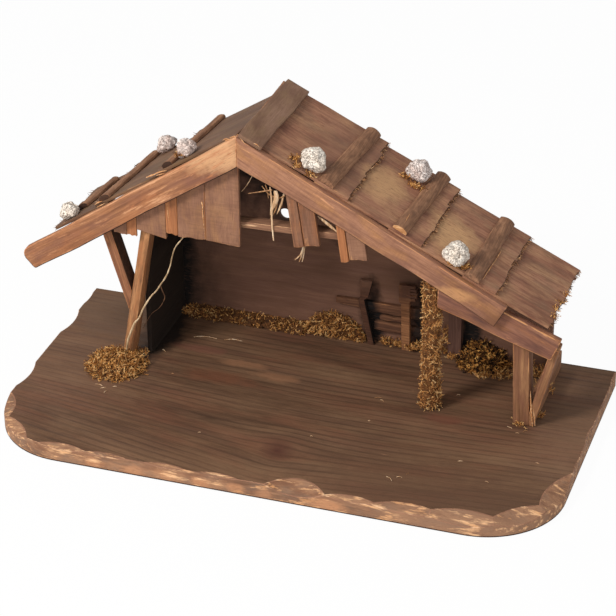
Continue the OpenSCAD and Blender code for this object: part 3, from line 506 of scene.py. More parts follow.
# The base board: dull dark brown, mottled, with fine lines that bow round a knot. KNOT is the knot's
# place and its reach along and across the grain in mm, and how much it bends the grain
KNOT = (6, -106, 22, 24, 0.55)
BASE_WOOD = wood(
    "stained_pine_base_and_painted_shade", ("#402b1d", "#684b36", "#7a5c44"), ("#8a6148", "#a87c5e"), ring=7, wear=0.02,
    streak=0.2, turn=(0, 0, 0), bend=True, patch=(110, 26), drift=6, pores=0.3,
    patches=(("#5b4031", 0.6), ("#7a4c38", 0.4), ("#8a6a50", 0.4)), lines=(9, 0.5, 3.0), knot=KNOT,
    spots=(
        ((-270, 20, 18), (130, 150, 60), "#8c6a55", 0.2), ((-250, 110, 18), (90, 60, 60), "#67503f", 0.6),
        # Painted shade: the two spots on the next line darken the base between the left post and the left
        # side wall
        ((-204, 76, 18), (20, 58, 60), "#2b1d14", 0.8), ((-184, 92, 18), (22, 70, 60), "#120b07", 0.95),
        ((-85, 52, 18), (34, 8, 60), "#94694c", 0.6), ((-42, 37, 18), (36, 9, 60), "#94694c", 0.6),
        ((-140, 68, 18), (40, 10, 60), "#744639", 0.5), ((285, 40, 18), (45, 130, 60), "#83634d", 0.35),
        ((170, -125, 18), (170, 70, 60), "#5d4230", 0.6), ((150, 10, 18), (26, 9, 60), "#6e3c2d", 0.5),
        ((-100, 20, 18), (50, 16, 60), "#7a4830", 0.4)))
# The edge is hewn in facets after staining, so bare wood shows through in chips and thin outlines
CHIPS = [(-170, 14, 0.5), (-128, 16, 0.5), (-92, 14, 0.4), (-58, 14, 0.6), (-17, 12, 0.5), (12, 12, 0.4),
         (80, 26, 0.6)]
RIM_WOOD = wood(
    "hewn_pine_rim", ("#6f503c", "#9e7559", "#b38664"), ("#cf9565", "#ecbd90"), ring=5, wear=0.36,
    streak=0.3, turn=(0, 0, 0), patch=(30, 11), patches=(("#7f6858", 0.7), ("#7a503a", 0.6)),
    spots=[((225, -140, 8), (120, 60, 30), "#9a755c", 0.6)] + [
        ((x, -158, 7), (reach, 12, 7), "#d0946a", share) for x, reach, share in CHIPS])
ARRIS_WOOD = wood(
    "bare_pine_outline", ("#785642", "#946b54", "#ad8063"), ("#cb9468", "#ecc49d"), ring=6, wear=0.36,
    turn=(0, 0, 0), patch=(24, 10))


def dress(material, *nodes):
    """Gives CAD nodes a material in their own slots."""
    for name in nodes:
        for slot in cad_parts[name].material_slots:
            slot.material = material


dress(WALL_WOOD, "back_wall")
# The ridge beam high under the roof takes the side wall's painted shade
dress(SHADED_SIDE_WALL_WOOD, "ridge_beam")
dress(POST_WOOD, "mossy_post", "back_post")


# Painted shade: the base board is dark underneath and up to its foot line, as in the shadow under its edge,
# and faces that look up less than TOP_TILT are its edge
FOOT_SHADE_LINE = 1.7 * MM
TOP_TILT = 0.985


def hewn_base():
    """The base board, flat on top, with its edge scooped all round and bare along the scoops' outlines."""
    piece = merged_copy("base_board", "hewn_base_board")
    paint(piece, BASE_WOOD, ARRIS_WOOD, RIM_WOOD, SHADE_EDGE_WOOD)
    apply_modifier(piece, "BEVEL", width=0.7 * MM, segments=2, limit_method="ANGLE",
                   angle_limit=math.radians(14), material=1, use_clamp_overlap=False)
    for direction in (RIGHT, BACK):
        slice_along(piece, direction, 12 * MM)
    slice_at(piece, UP, [FOOT_SHADE_LINE])
    for face in piece.data.polygons:
        if face.normal.z < -0.2 or face.center.z < FOOT_SHADE_LINE:
            face.material_index = 3
        elif face.material_index == 0 and face.normal.z < TOP_TILT:
            face.material_index = 2
    activate(piece)
    bpy.ops.object.shade_smooth_by_angle(angle=math.radians(12))
    finish_piece(piece, "base_wood", "base_board")


hewn_base()
# The barges' lower arrises get painted shade, a dark line as cast below them
board("barge_left", "barge_wood", BARGE_LEFT_WOOD, sloping(-SLOPE_LEFT), FRONT, 1, 1.2, 6, 0.5, under=-UP)
board("barge_right", "barge_wood", BARGE_RIGHT_WOOD, sloping(SLOPE_RIGHT), FRONT, 2, 1.2, 6, 0.5, under=-UP)
board("left_post", "frame_wood", LEFT_FRAME_WOOD, leaning(10), FRONT, 3)
# The left brace's right face gets painted shade
board("left_brace", "frame_wood", BRACE_WOOD, leaning(-16.5), FRONT, 4, shaded=RIGHT)
board("right_post", "frame_wood", RIGHT_FRAME_WOOD, leaning(-2), FRONT, 5)
board("right_brace", "frame_wood", RIGHT_FRAME_WOOD, leaning(13.8), FRONT, 6)
board("tie_beam", "frame_wood", TIE_WOOD, sloping(-1.4), FRONT, 7)
board("lower_rafter", "frame_wood", RAFTER_WOOD, sloping(21.9), FRONT, 8, 1.2)
board("right_sill", "wall_wood", RIGHT_FRAME_WOOD, BACK, RIGHT, 9)
side_wall = board("left_side_wall", "wall_wood", (SHADED_SIDE_WALL_WOOD, SHADED_SIDE_WALL_WOOD), BACK, -RIGHT, 90, 0.4,
                  9, 0.2)
mark(side_wall, OUTSIDE_WOOD, lambda side: side.normal.dot(-RIGHT) > FACING)
for i in range(6):
    board("gable_plank_%d" % (i + 1), "plank_wood", ORANGE_WOOD if i in (2, 4) else PLANK_WOOD, UP, FRONT,
          10 + i, 0.5, 7)
for i, woods in enumerate((SLAT_WOOD, SLAT_WOOD, ORANGE_WOOD, PLANK_WOOD)):
    board("hanging_slat_%d" % (i + 1), "plank_wood", woods, leaning(-8), FRONT, 20 + i, 0.6, 7)
RIGHT_FACE = leaning(SLOPE_RIGHT - LAP_TILT)
LEFT_FACE = leaning(LAP_TILT - SLOPE_LEFT)
RIGHT_RUN = sloping(SLOPE_RIGHT - LAP_TILT)
LEFT_RUN = sloping(LAP_TILT - SLOPE_LEFT)
# The roof boards' arris, slice length and unevenness in mm, and the wood of their ends
SHAKE = (0.6, 5, 0.45, SHADED_SHAKE_END_WOOD)
right_boards = [board("roof_board_right_%d" % (i + 1), "roof_wood", ROOF_WOOD, RIGHT_RUN, RIGHT_FACE,
                      30 + i, *SHAKE, RIGHT_RUN) for i in range(4)]
left_boards = [board("roof_board_left_%d" % (i + 1), "roof_wood", SHADED_LEFT_ROOF_WOOD, LEFT_RUN, LEFT_FACE,
                     40 + i, *SHAKE, -LEFT_RUN) for i in range(3)]
# The battens' lower arrises get painted shade, dark as their contact shadows, and so do the left battens'
# ends
for i in range(3):
    board("batten_left_%d" % (i + 1), "batten_wood", BATTEN_WOOD, BACK, LEFT_FACE, 50 + i, 0.6, 5, 0.5,
          SHADE_EDGE_WOOD, -LEFT_FACE)
    board("batten_right_%d" % (i + 1), "batten_wood", BATTEN_WOOD, BACK, RIGHT_FACE, 60 + i, 0.6, 5, 0.5,
          END_WOOD if i == 1 else None, -RIGHT_FACE)
# The ridge board's lower arrises get painted shade
board("ridge_board", "batten_wood", RIDGE_WOOD, BACK, RIGHT_FACE, 70, 0.8, 6, 0.25, under=-RIGHT_FACE)
# The left fence post's side faces get painted shade, almost black
board("fence_post_left", "fence_wood", POST_FENCE_WOOD, RIGHT, FRONT, 80, 0.4, 5, ends=SHADE_BLACK_WOOD)
board("fence_post_right", "fence_wood", LIT_RIGHT_FENCE_WOOD, RIGHT, FRONT, 81, 0.4, 5)
for i, node in enumerate(("fence_rail_top", "fence_rail_middle", "fence_rail_low")):
    board(node, "fence_wood", RAIL_WOOD, RIGHT, FRONT, 84 + i, 0.4, 6)


# Pebbles

def pebble_stone(name, chalk, vein):
    """Tuff pebbles: matt and pitted, chalky with darker veins in the pits."""
    material, tree = with_tree(bpy.data.materials.new(name))
    place = add(tree, "TexCoord", output="Object")
    pits = add(tree, "TexVoronoi", {"Scale": 1 / (6.5 * MM), "Vector": place}, feature="F1")
    crack = stretched_noise(tree, place, (4, 4, 4), 5, 0.7)
    cloud = stretched_noise(tree, place, (9, 9, 9), 2)
    crack = add(tree, "Math", (weighted(tree, -0.5, (crack, 1)),), operation="ABSOLUTE")
    lines = add(tree, "MapRange", (crack, 0.0, 0.035))
    body = add(tree, "ValToRGB", (cloud,), stops=list(zip((0.35, 0.65), chalk)))
    tone = cover(tree, body, vein, lines, 1, 0, 0.55)
    tone = cover(tree, tone, vein, pits, 0.2, 0.06)
    relief = weighted(tree, 0, (lines, 1), (add(tree, "MapRange", (pits, 0.0, 0.4)), 1))
    set_surface(tree, tone, 0.9, 0.25, relief, 0.8, 0.9)
    return material


def pebble(node, material, seed, knobbly=2.0):
    """A pebble in a CAD stone's place, lumpy all over but flat where it rests."""
    piece = merged_copy(node, "pebble_" + node[-1])
    piece.data.remesh_voxel_size = 0.8 * MM
    activate(piece)
    bpy.ops.object.voxel_remesh()
    apply_modifier(piece, "SMOOTH", factor=0.6, iterations=8)
    for vertex in piece.data.vertices:
        spot = vertex.co / (5 * MM) + Vector((seed, 0, 0))
        fine = vertex.co / (1.9 * MM) + Vector((0, seed, 0))
        vertex.co += vertex.normal * MM * (knobbly * noise.noise(spot) + 0.9 * noise.noise(fine) + 0.3)
    paint(piece, material)
    activate(piece)
    bpy.ops.object.shade_smooth()
    finish_piece(piece, "stone", node)


CHALK = pebble_stone("tuff_chalky", ("#ecdccb", "#fff6ea"), "#77604f")
PINK = pebble_stone("tuff_pink", ("#e6d1c7", "#fdf2ec"), "#7c5c50")
for i, stuff in enumerate((CHALK, PINK, CHALK, CHALK, PINK, PINK)):
    pebble("stone_%d" % (i + 1), stuff, 5.3 * i)


# Twig and straw

def dried_stem(name, tones, size=(3, 3, 12), rough=0.6):
    """A dried plant stem: pale, satin, with streaks and darker joints."""
    material, tree = with_tree(bpy.data.materials.new(name))
    streak = stretched_noise(tree, add(tree, "TexCoord", output="Object"), size, 3, 0.6)
    tone = add(tree, "ValToRGB", (streak,), stops=list(zip((0.3, 0.5, 0.7), tones)))
    set_surface(tree, tone, rough, 0.5, streak, 0.5, 0.3)
    return material


def stem(points, radii, material, flat=1.0, turns=5):
    """One stem through points in mm, as a mesh tube with closed ends; flat squeezes it front to back."""
    data = bpy.data.curves.new("stem", "CURVE")
    data.dimensions = "3D"
    data.bevel_depth = 1
    data.bevel_resolution = 1
    data.use_fill_caps = True
    spline = data.splines.new("BEZIER")
    spline.bezier_points.add(len(points) - 1)
    for knot, point, radius in zip(spline.bezier_points, points, radii):
        knot.co = Vector(point) * MM
        knot.radius = radius * MM
        knot.handle_left_type = knot.handle_right_type = "AUTO"
    spline.resolution_u = turns
    activate(link_new("stem", data))
    bpy.ops.object.convert(target="MESH")
    piece = bpy.context.object
    middle = sum(point[1] for point in points) / len(points) * MM
    for vertex in piece.data.vertices:
        vertex.co.y = middle + (vertex.co.y - middle) * flat
    paint(piece, material)
    return piece


def join(pieces, name):
    """Makes the pieces one, which stays active and selected."""
    activate(pieces[0])
    for piece in pieces:
        piece.select_set(True)
    bpy.ops.object.join()
    piece = bpy.context.object
    piece.name = name
    piece.data.name = name
    return piece


# The twig's points are shares of the gable planks' height, measured from the left post's foot in mm
LEFT_FOOT = Vector((-208.5, 25, 18))
PLANK_UP = 165
TWIG = [
    (0.004, -0.03, 0.03), (0.029, -0.029, 0.165), (0.055, -0.024, 0.24), (0.077, -0.021, 0.295),
    (0.103, -0.012, 0.329), (0.12, 0.012, 0.377), (0.148, 0.024, 0.433), (0.183, 0.036, 0.488),
    (0.211, 0.045, 0.521), (0.237, 0.048, 0.565), (0.279, 0.048, 0.634), (0.311, 0.048, 0.717),
    (0.331, 0.036, 0.788), (0.36, 0.026, 0.871), (0.419, 0.02, 0.958), (0.445, -0.014, 1.03)]
SPRIG = [(0.237, 0.05, 0.562), (0.25, 0.067, 0.495), (0.253, 0.079, 0.466), (0.232, 0.091, 0.411),
         (0.196, 0.097, 0.355), (0.151, 0.097, 0.314), (0.09, 0.079, 0.197)]


def on_twig(point):
    return LEFT_FOOT + Vector(point) * PLANK_UP


# The peeled twig is pale and satin, and its side shoot still has its brown bark
TWIG_WOOD = dried_stem("peeled_twig", ("#8d7050", "#c4a680", "#ecd6b3"))
SPRIG_WOOD = dried_stem("bark_twig", ("#4c3322", "#6b4a33", "#8d684b"))


def make_twig():
    thick = [1.25 - 0.05 * i + (0.2 if i % 4 == 2 else 0) for i in range(len(TWIG))]
    main = stem([on_twig(p) for p in TWIG], thick, TWIG_WOOD)
    thin = stem([on_twig(p) for p in SPRIG], [0.6 - 0.05 * i for i in range(len(SPRIG))], SPRIG_WOOD)
    piece = join([main, thin], "peeled_twig")
    for vertex in piece.data.vertices:
        vertex.co += vertex.normal * 0.35 * MM * noise.noise(vertex.co / (4 * MM))
    bpy.ops.object.shade_smooth()
    finish_piece(piece, "pale_twig", "twig")


make_twig()

# Straw is golden and satin, and browner and duller when old
STRAW = dried_stem("dried_straw", ("#a2764c", "#d8b087", "#f8dfbd"), rough=0.45)
DARK_STRAW = dried_stem("brown_straw", ("#7a5433", "#a5764b", "#c79666"), rough=0.5)
# Points of each stalk in mm, its half width there, how flat it is and whether it is a brown one
STALKS = [
    ([(-35.1, 23.8, 248.5), (-34.2, 23.8, 241), (-36.4, 23.8, 233), (-39.2, 23.8, 224.6), (-39.4, 23.8, 212),
      (-38.1, 23.8, 190.7)], (2.2, 3.4, 2.6, 1.0, 1.1, 0.8), 0.25, 0),
    ([(-41.6, 25.8, 250.7), (-40.2, 25.8, 236), (-41.6, 25.8, 218.7)], (0.8, 1.1, 0.6), 0.6, 0),
    ([(-65.5, 25.7, 239.7), (-50.3, 25.7, 244.3), (-39.5, 25.7, 247.7)], (0.4, 0.7, 0.9), 0.7, 1),
    ([(-50.3, 26, 250.4), (-41.8, 26, 241.5), (-27.9, 26, 241.4), (-24.6, 26, 247.6)], (0.5, 0.7, 0.7, 0.4),
     0.8, 1),
    ([(-26.9, 26.4, 245.9), (-30.3, 26.4, 231.7), (-34.8, 26.4, 220.6)], (0.8, 1.4, 0.5), 0.4, 0),
    ([(-33, 25.2, 240), (-36, 25.2, 226), (-42, 25.2, 214)], (0.9, 1.0, 0.4), 0.4, 1),
    ([(-47, 26.8, 252), (-45, 26.8, 246), (-44, 26.8, 237)], (0.5, 0.6, 0.3), 0.8, 1),
    ([(-73, 27, 240), (-66, 27, 250), (-60, 27, 262)], (0.3, 0.4, 0.3), 1, 0),
    ([(-5.5, 23.8, 190), (-9.5, 23.8, 178.6), (-15, 23.8, 171.8)], (0.7, 0.8, 0.3), 0.5, 0),
    ([(-5.8, 25.6, 190), (-9.1, 25.6, 175.4), (-11.3, 25.6, 169.1)], (0.8, 0.9, 0.3), 0.5, 0),
    ([(-5.2, 27, 190), (-7.4, 27, 173.7), (-8.5, 27, 168.9)], (0.7, 0.8, 0.3), 0.5, 0),
    ([(-4.4, 26.2, 190), (-9.9, 26, 178), (-16.9, 25.8, 171)], (0.5, 0.5, 0.25), 0.6, 1),
    ([(10, 23.9, 226.4), (17, 23.9, 221.5), (24, 23.9, 216.6), (31, 23.9, 211)], (0.8, 1.8, 1.9, 0.6),
     0.3, 0),
]


def make_straw():
    stalks = [stem(points, halves, DARK_STRAW if brown else STRAW, flat)
              for points, halves, flat, brown in STALKS]
    piece = join(stalks, "straw_stalks")
    bpy.ops.object.shade_smooth()
    finish_piece(piece, "straw", "straw_bundle")


make_straw()

# Straw bits on the base board: x, y and length in mm, and turn in degrees
CRUMBS = [
    (-209.6, -39.6, 7, 35), (-216, -35.2, 9, -10), (-204, -46, 5, 70), (-199, -33, 4, 15),
    (73.3, 29.9, 8, 25), (79, 26, 5, -30), (77.3, -15.4, 2.5, 0), (136.7, -106.4, 6, 10),
    (128, -112, 9, -35), (143, -98, 4, 60), (-143, 91.3, 26, 8), (-112, 95, 20, 9), (187, -60, 5, 20),
    (222, -88, 4, -15), (236, 14, 5, 40), (219, 16, 6, -20), (229, 8, 4, 10), (152, 61, 4, 30),
    (-176, 52, 6, -40), (-150, 10, 3, 20), (30, -62, 3, 0), (262, -40, 4, -10), (-82, -90, 3, 30)]


def make_crumbs():
    pieces = []
    for i, (x, y, length, turn) in enumerate(CRUMBS):
        run = Vector((math.cos(math.radians(turn)), math.sin(math.radians(turn)), 0)) * length / 2
        foot = Vector((x, y, BASE_TOP / MM + 0.35))
        rise = Vector((0, 0, 0.25 * (i % 3)))
        side = Vector((-run.y, run.x, 0)) * 0.2
        pieces.append(stem([foot - run, foot + side + rise, foot + run], (0.2, 0.38, 0.2),
                           DARK_STRAW if i % 5 == 4 else STRAW, turns=3))
    piece = join(pieces, "straw_crumbs")
    finish_piece(piece, "straw")


make_crumbs()

# Splinters torn from the roof boards, planks and posts: both ends and the half width in mm
SPLINTERS = [
    ((-84, 13, 302.6), (-76, 12, 306.4), 0.9), ((-80, 15, 305.2), (-70, 13, 309.4), 0.7),
    ((-73, 11, 308.6), (-66, 9.5, 306), 0.8), ((-88, 16, 301), (-81, 15, 304.2), 0.6),
    ((-72, 16, 310), (-64.5, 12, 308.2), 0.5), ((-67, 9.2, 309.4), (-61, 9, 303.5), 0.6),
    ((-172, 14, 247.4), (-157, 13, 256), 1.0), ((-166, 16.5, 250), (-148, 12, 260), 0.8),
    ((-160, 12, 252.4), (-149, 11, 257.6), 0.6), ((-232, 16, 205.5), (-223, 15, 211.5), 0.9),
    ((-229, 14, 204), (-219, 13, 211), 0.6), ((-52, 8.4, 306.4), (-46, 8.2, 303.6), 0.7),
    ((185.6, 91, 181.2), (185.2, 66, 181.6), 0.7), ((185.5, 70, 181.4), (183.4, 24, 182.4), 0.8),
    ((100.5, 30, 231.6), (100, 48, 231.8), 0.5), ((-112.4, 16.8, 229), (-110.6, 16.7, 186), 0.65),
    ((-113.2, 16.6, 227), (-111.8, 16.6, 219), 1.1), ((-151.2, 16.8, 220), (-149.6, 16.7, 197), 0.6),
    ((241.2, 24.4, 18.6), (237.2, 24.2, 61), 1.1), ((243.4, 25.4, 19), (239.6, 24.6, 45), 0.8)]
# Freshly torn pine is unstained: pale and fibrous, orange where resin sits
SPLINTER_WOOD = dried_stem("torn_pine", ("#a8683a", "#cf9460", "#efc79b"), (2, 2, 2), 0.8)


def make_splinters():
    pieces = []
    for i, (start, end, half) in enumerate(SPLINTERS):
        a, b = Vector(start), Vector(end)
        aside = (b - a).orthogonal().normalized() * half * (0.5 if i % 2 else -0.5)
        bow = Vector((0, 0, 0.4 * half)) + aside
        pieces.append(stem([a, a.lerp(b, 0.45) + bow, b], (half * 0.35, half, half * 0.2),
                           SPLINTER_WOOD, turns=4))
    piece = join(pieces, "torn_splinters")
    for vertex in piece.data.vertices:
        vertex.co += vertex.normal * 0.25 * MM * noise.noise(vertex.co / (2 * MM))
    finish_piece(piece, "batten_wood")


make_splinters()


# Moss

def dried_moss(name, tones):
    """Dried forest moss: matt, each frond golden to dark by chance, and the core between the fronds darkest,
    as painted shade.
    """
    material, tree = with_tree(bpy.data.materials.new(name))
    tone = add(tree, "Attribute", output="Fac", attribute_name="tone")
    mottle = stretched_noise(tree, add(tree, "TexCoord", output="Object"), (5, 5, 5), 2)
    shade = weighted(tree, 0, (tone, 0.75), (mottle, 0.35))
    stops = list(zip((0.1, 0.35, 0.55, 0.75, 0.95), tones))
    set_surface(tree, add(tree, "ValToRGB", (shade,), stops=stops), 0.85, 0.2)
    return material


# The moss in the light, the lightest on the post, and a copy for the bay whose near-black tones are painted
# shade in its depths
MOSS = dried_moss("dried_moss", ("#3a2415", "#80532d", "#ba8044", "#e0a862", "#f7d295"))
POST_MOSS = dried_moss("dried_moss_light", ("#452c1a", "#956237", "#cb8e52", "#ecb671", "#fbdca4"))
SHADED_MOSS = dried_moss("dried_moss_painted_shade", ("#0d0603", "#261608", "#633f20", "#b87c3a", "#eab86c"))


def curled_stem(rng, lean, drop, bend, foot, step, sizes):
    """Stations of a stem that leans and curls by chance: its middle, heading and two sides there.

    The points and faces of the three-sided tube through them come second.
    """
    heading = Vector((rng.uniform(-lean, lean), rng.uniform(-lean, lean), 1)).normalized()
    curl = Vector((rng.uniform(-1, 1), rng.uniform(-1, 1), rng.uniform(*drop))) * bend
    here = Vector((0, 0, foot))
    stations, points, faces = [], [], []
    for n, size in enumerate(sizes):
        side = heading.orthogonal().normalized()
        other = heading.cross(side)
        stations.append((here, heading, side, other))
        for i in range(3):
            turn = math.tau * i / 3
            points.append(here + (side * math.cos(turn) + other * math.sin(turn)) * size)
            if n:
                a, b, k = 3 * (n - 1), 3 * n, (i + 1) % 3
                faces.append((a + i, a + k, b + k, b + i))
        here = here + heading * step
        heading = (heading + curl / (len(sizes) - 1)).normalized()
    last = len(points) - 3
    return stations, points, faces + [(2, 1, 0), (last, last + 1, last + 2)]


def make_frond(seed, length=7.0, thick=0.42, steps=5):
    """A curled frond with pairs of leaves, as points and faces."""
    rng = random.Random(seed)
    sizes = [thick * (1 - 0.75 * i / (steps - 1)) for i in range(steps)]
    stations, points, faces = curled_stem(rng, 0.5, (-0.6, 0.2), 1.3, 0, length / (steps - 1), sizes)
    for here, heading, side, other in stations[1:]:
        root = here - heading * thick
        for turn in (rng.uniform(0, math.tau), rng.uniform(0, math.tau)):
            out = side * math.cos(turn) + other * math.sin(turn)
            wide = heading.cross(out) * thick * 1.2
            i = len(points)
            points.extend((root - wide, root + wide, root + out * thick * 3.6 + heading * thick * 2.4,
                           root - out * thick * 0.3 - heading * thick))
            faces.extend(((i, i + 1, i + 2), (i, i + 2, i + 3), (i + 2, i + 1, i + 3), (i + 1, i, i + 3)))
    return [p * MM for p in points], faces


FRONDS = [make_frond(seed) for seed in range(6)]


def set_tones(mesh, tones):
    """Gives each point its tone from dark to light, which the moss's material reads."""
    mesh.attributes.new("tone", "FLOAT", "POINT").data.foreach_set("value", tones)


CORE_VOXEL = 1.6 * MM


def moss_core(node, sink=1.6, lumps=1.6):
    """The heart of a moss cushion, from its CAD solid: lumpy, sunk by sink mm, and at the darkest tone as
    painted shade.
    """
    piece = merged_copy(node, "core")
    piece.data.remesh_voxel_size = CORE_VOXEL
    activate(piece)
    bpy.ops.object.voxel_remesh()
    for vertex in piece.data.vertices:
        wave = noise.noise(vertex.co / (7 * MM)) + 0.5 * noise.noise(vertex.co / (3 * MM))
        vertex.co += vertex.normal * MM * (lumps * wave - sink)
        vertex.co.z = max(vertex.co.z, BASE_TOP + 0.1 * MM)
    set_tones(piece.data, [0.0] * len(piece.data.vertices))
    return piece


def spots_on(piece, count, rng, keep):
    """Random places on a mesh, spread by area, with the surface's normal."""
    faces = [f for f in piece.data.polygons if keep(f.center, f.normal)]
    chosen = rng.choices(faces, weights=[f.area for f in faces], k=count)
    spread = []
    for face in chosen:
        corners = [piece.data.vertices[i].co for i in face.vertices]
        shares = [rng.random() for _ in corners]
        total = sum(shares)
        spread.append((sum((c * s for c, s in zip(corners, shares)), Vector()) / total, face.normal.copy()))
    return spread


def scatter(name, spots, rng, lie, size, shapes=FRONDS):
    """Fronds at the given spots, each turned and sized by chance, as one mesh."""
    points, faces, tones = [], [], []
    for co, normal in spots:
        shape, sides = rng.choice(shapes)
        tangent = Vector((rng.uniform(-1, 1), rng.uniform(-1, 1), rng.uniform(-1, 1)))
        tangent = (tangent - normal * tangent.dot(normal)).normalized()
        axis = (normal * (1 - lie) + tangent * lie * rng.uniform(0.6, 1.6)).normalized()
        spin = axis.to_track_quat("Z", "Y") @ Euler((0, 0, rng.uniform(0, math.tau))).to_quaternion()
        scale = rng.uniform(*size)
        start = len(points)
        points.extend(co + spin @ (p * scale) for p in shape)
        faces.extend(tuple(start + i for i in face) for face in sides)
        tones.extend([rng.random()] * len(shape))
    mesh = bpy.data.meshes.new(name)
    mesh.from_pydata(points, [], faces)
    set_tones(mesh, tones)
    return link_new(name, mesh)


def press_flat(piece):
    """Presses moss that stands against the back wall or on the base flat, so that none comes through."""
    for vertex in piece.data.vertices:
        vertex.co.y = min(vertex.co.y, WALL_FACE)
        vertex.co.z = max(vertex.co.z, BASE_TOP + 0.05 * MM)


def above(co, normal):
    return co.z > BASE_TOP + 0.6 * MM


def patchy(co, normal):
    """Keeps moss in clumps, with bare stretches between."""
    return above(co, normal) and noise.noise(co / (13 * MM)) > -0.22


def moss(name, node, count, seed, material=MOSS, lie=0.5, size=(0.7, 1.3), strays=0, keep=above, **core):
    """A moss cushion in a CAD solid's place: a core in painted shade under fronds, with strays round its
    foot.
    """
    rng = random.Random(seed)
    heart = moss_core(node, **core)
    spots = spots_on(heart, count, rng, keep)
    low = [co for co, _ in spots if co.z < BASE_TOP + 5 * MM]
    middle = sum(low, Vector()) / max(len(low), 1)
    for co in rng.choices(low, k=strays) if low else []:
        out = (co - middle) * rng.uniform(0.02, 0.22)
        spots.append((Vector((co.x + out.x, co.y + out.y, BASE_TOP + 0.4 * MM)), UP))
    piece = join([heart, scatter("fronds", spots, rng, lie, size)], name)
    press_flat(piece)
    paint(piece, material)
    finish_piece(piece, "moss", node)


moss("moss_at_left_foot", "moss_pile", 2300, 1, lie=0.6, size=(0.5, 1.1), strays=300)
moss("moss_along_wall", "moss_edging", 1500, 2, keep=patchy, size=(0.4, 0.85), sink=2.8, lumps=2.4)
moss("moss_heap_at_wall", "moss_heap", 1100, 3, size=(0.5, 0.95), strays=100)
moss("moss_in_right_bay", "moss_clump", 1700, 4, SHADED_MOSS, lie=0.55, size=(0.6, 1.3), strays=200, lumps=4,
     keep=patchy)
moss("moss_round_post", "moss_on_post", 3100, 5, POST_MOSS, lie=0.75, size=(0.45, 0.85), sink=1.2)

# Tufts pressed into corners: middle in mm, reach across and up, and number of fronds
TUFTS = [
    ((-15.5, 27, 284.6), 4, 3, 40), ((-11, 19, 281.4), 4, 2, 34), ((4, 18.5, 274.4), 7, 1.5, 30),
    ((77, 114, 237.6), 5, 3, 44), ((87, 106, 231.6), 6, 2, 44), ((96, 108, 227.6), 4, 2, 20),
    ((152, 19, 197), 5, 2, 40), ((160, 22, 192.4), 6, 2, 44), ((167, 28, 190.4), 4, 2, 24),
    ((256, 86, 142), 2.5, 1.5, 16), ((255, 68, 142.4), 2.5, 1.5, 20), ((253.6, 52, 143), 2.5, 1.5, 20),
    ((254.6, 38, 142.4), 2.5, 1.5, 16), ((79, 133, 20), 7, 6, 90), ((88, 136, 21), 6, 8, 60),
    ((98, 138, 22), 5, 10, 50), ((110, 138, 20), 7, 16, 110), ((117, 139, 34), 5, 16, 80),
    ((52, 139, 19.5), 9, 5, 80), ((64, 139, 19), 6, 3, 40), ((125, 130, 19), 5, 3, 40),
    ((227, 24, 18.6), 8, 1, 24), ((243, 46, 18.8), 6, 2, 40), ((236, 96, 20), 10, 8, 90),
    ((203, 128, 20), 12, 12, 130), ((222, 122, 20), 10, 10, 110), ((-196, 36, 20), 8, 4, 70),
    ((150, 128, 20), 9, 14, 90), ((186, 110, 19), 12, 6, 90), ((168, 104, 19), 9, 3, 50),
    ((-140, 24, 272), 3, 2, 24), ((-133, 24, 272.4), 3, 2, 20), ((138.5, 28, 176), 9, 4, 60),
    ((-179, 133, 20), 6, 6, 50)]


def make_tufts():
    rng = random.Random(11)
    spots = []
    for middle, reach, rise, count in TUFTS:
        for _ in range(count):
            turn = rng.uniform(0, math.tau)
            out = reach * math.sqrt(rng.random())
            offset = Vector((out * math.cos(turn), out * math.sin(turn) * 0.7, rise * rng.random() ** 2))
            spots.append(((Vector(middle) + offset) * MM, UP))
    piece = scatter("moss_tufts", spots, rng, 0.55, (0.45, 0.95))
    press_flat(piece)
    paint(piece, MOSS)
    finish_piece(piece, "moss")


make_tufts()


# Frayed ends of the shakes

def make_fibre(seed):
    """One torn wood fibre, curled, as points and faces."""
    sizes = [0.34 - 0.08 * i for i in range(4)]
    _, points, faces = curled_stem(random.Random(seed), 0.3, (-0.5, 0), 1.1, -0.6, 1.1, sizes)
    return [p * MM for p in points], faces


FIBRES = [make_fibre(100 + seed) for seed in range(5)]
# How many fibres each roof board has, and how far up from its lowest point they stand
FRAY_COUNT = 130
FRAY_LENGTH = 22 * MM
# Torn fibres are shaded as moss is, matt and each of its own tone, in the browns of old pine
FRAYED = dried_moss("frayed_pine", ("#4a2f1d", "#6e4a31", "#966a48", "#b98860", "#e0b88e"))


def fray(boards, run, seed):
    """Torn fibres standing out of the shakes' lower ends."""
    rng = random.Random(seed)
    spots = []
    for piece in boards:
        low = max(vertex.co.dot(run) for vertex in piece.data.vertices)

        def torn(co, normal):
            return normal.dot(run) > 0.5 and co.dot(run) > low - FRAY_LENGTH

        spots.extend(spots_on(piece, FRAY_COUNT, rng, torn))
    return scatter("fibres", spots, rng, 0.3, (0.4, 1.8), shapes=FIBRES)


def make_fraying():
    piece = join([fray(right_boards, RIGHT_RUN, 21), fray(left_boards, -LEFT_RUN, 22)], "frayed_shake_ends")
    paint(piece, FRAYED)
    finish_piece(piece, "roof_wood")


make_fraying()


# Floor and light

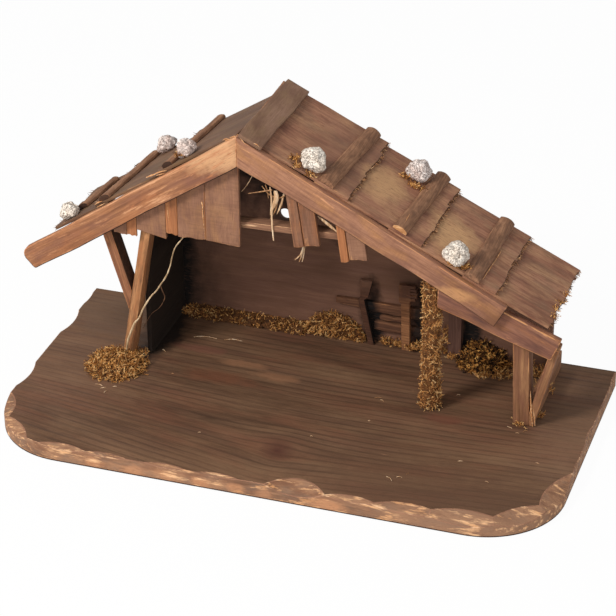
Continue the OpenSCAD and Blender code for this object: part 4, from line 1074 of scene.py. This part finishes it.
def seen_directly(tree):
    """1 for rays from the camera, from a mirror or through glass, and 0 for light's own rays."""
    seen = 0.0
    for name in ("Is Camera Ray", "Is Glossy Ray", "Is Transmission Ray"):
        seen = add(tree, "Math", (add(tree, "LightPath", output=name), seen), operation="MAXIMUM")
    return seen


# The floor's size in m, how far it lies below the base board, and its share of plain white
FLOOR_SIZE = 12
FLOOR_GAP = 0.2 * MM
FLOOR_WHITE = 0.96


def make_stage():
    """The floor: plain white to the camera, with a little real paper in it for the shadows."""
    bpy.ops.object.select_all(action="DESELECT")
    bpy.ops.mesh.primitive_plane_add(size=FLOOR_SIZE, location=(0, 0, -FLOOR_GAP))
    floor = bpy.context.object
    floor.name = "floor"
    material, tree = with_tree(bpy.data.materials.new("white_paper"))
    paper = add(tree, "BsdfDiffuse", ("#f4f4f4",))
    glow = add(tree, "Emission", ("#ffffff", 1.0))
    share = weighted(tree, 0, (seen_directly(tree), FLOOR_WHITE))
    add(tree, "OutputMaterial", (add(tree, "MixShader", (share, paper, glow)),))
    floor.data.materials.append(material)


def softbox(name, place, target, size, power, tint="#ffffff"):
    """A square light of a size in m and a power in W, turned to its target."""
    data = bpy.data.lights.new(name, "AREA")
    data.shape = "SQUARE"
    data.size = size
    data.energy = power
    data.color = colour(tint)[:3]
    lamp = link_new(name, data)
    lamp.location = place
    lamp.rotation_euler = (Vector(place) - Vector(target)).to_track_quat("Z", "Y").to_euler()


def make_world(strength):
    """A white sky that lights the scene with its strength but is seen as plain white."""
    world, tree = with_tree(bpy.data.worlds.new("studio"))
    level = add(tree, "MapRange", (seen_directly(tree), 0, 1, strength, 1.0))
    add(tree, "OutputWorld", (add(tree, "Background", ("#ffffff", level)),))
    bpy.context.scene.world = world


place_camera()
make_stage()
make_world(0.4)
MIDDLE = (0, 0.05, 0.12)
softbox("key", (-1.25, -1.65, 2.0), MIDDLE, 0.7, 56, "#fffaf4")
softbox("fill", (1.2, -2.1, 1.3), MIDDLE, 1.4, 14)
bpy.context.scene.view_settings.view_transform = "Standard"
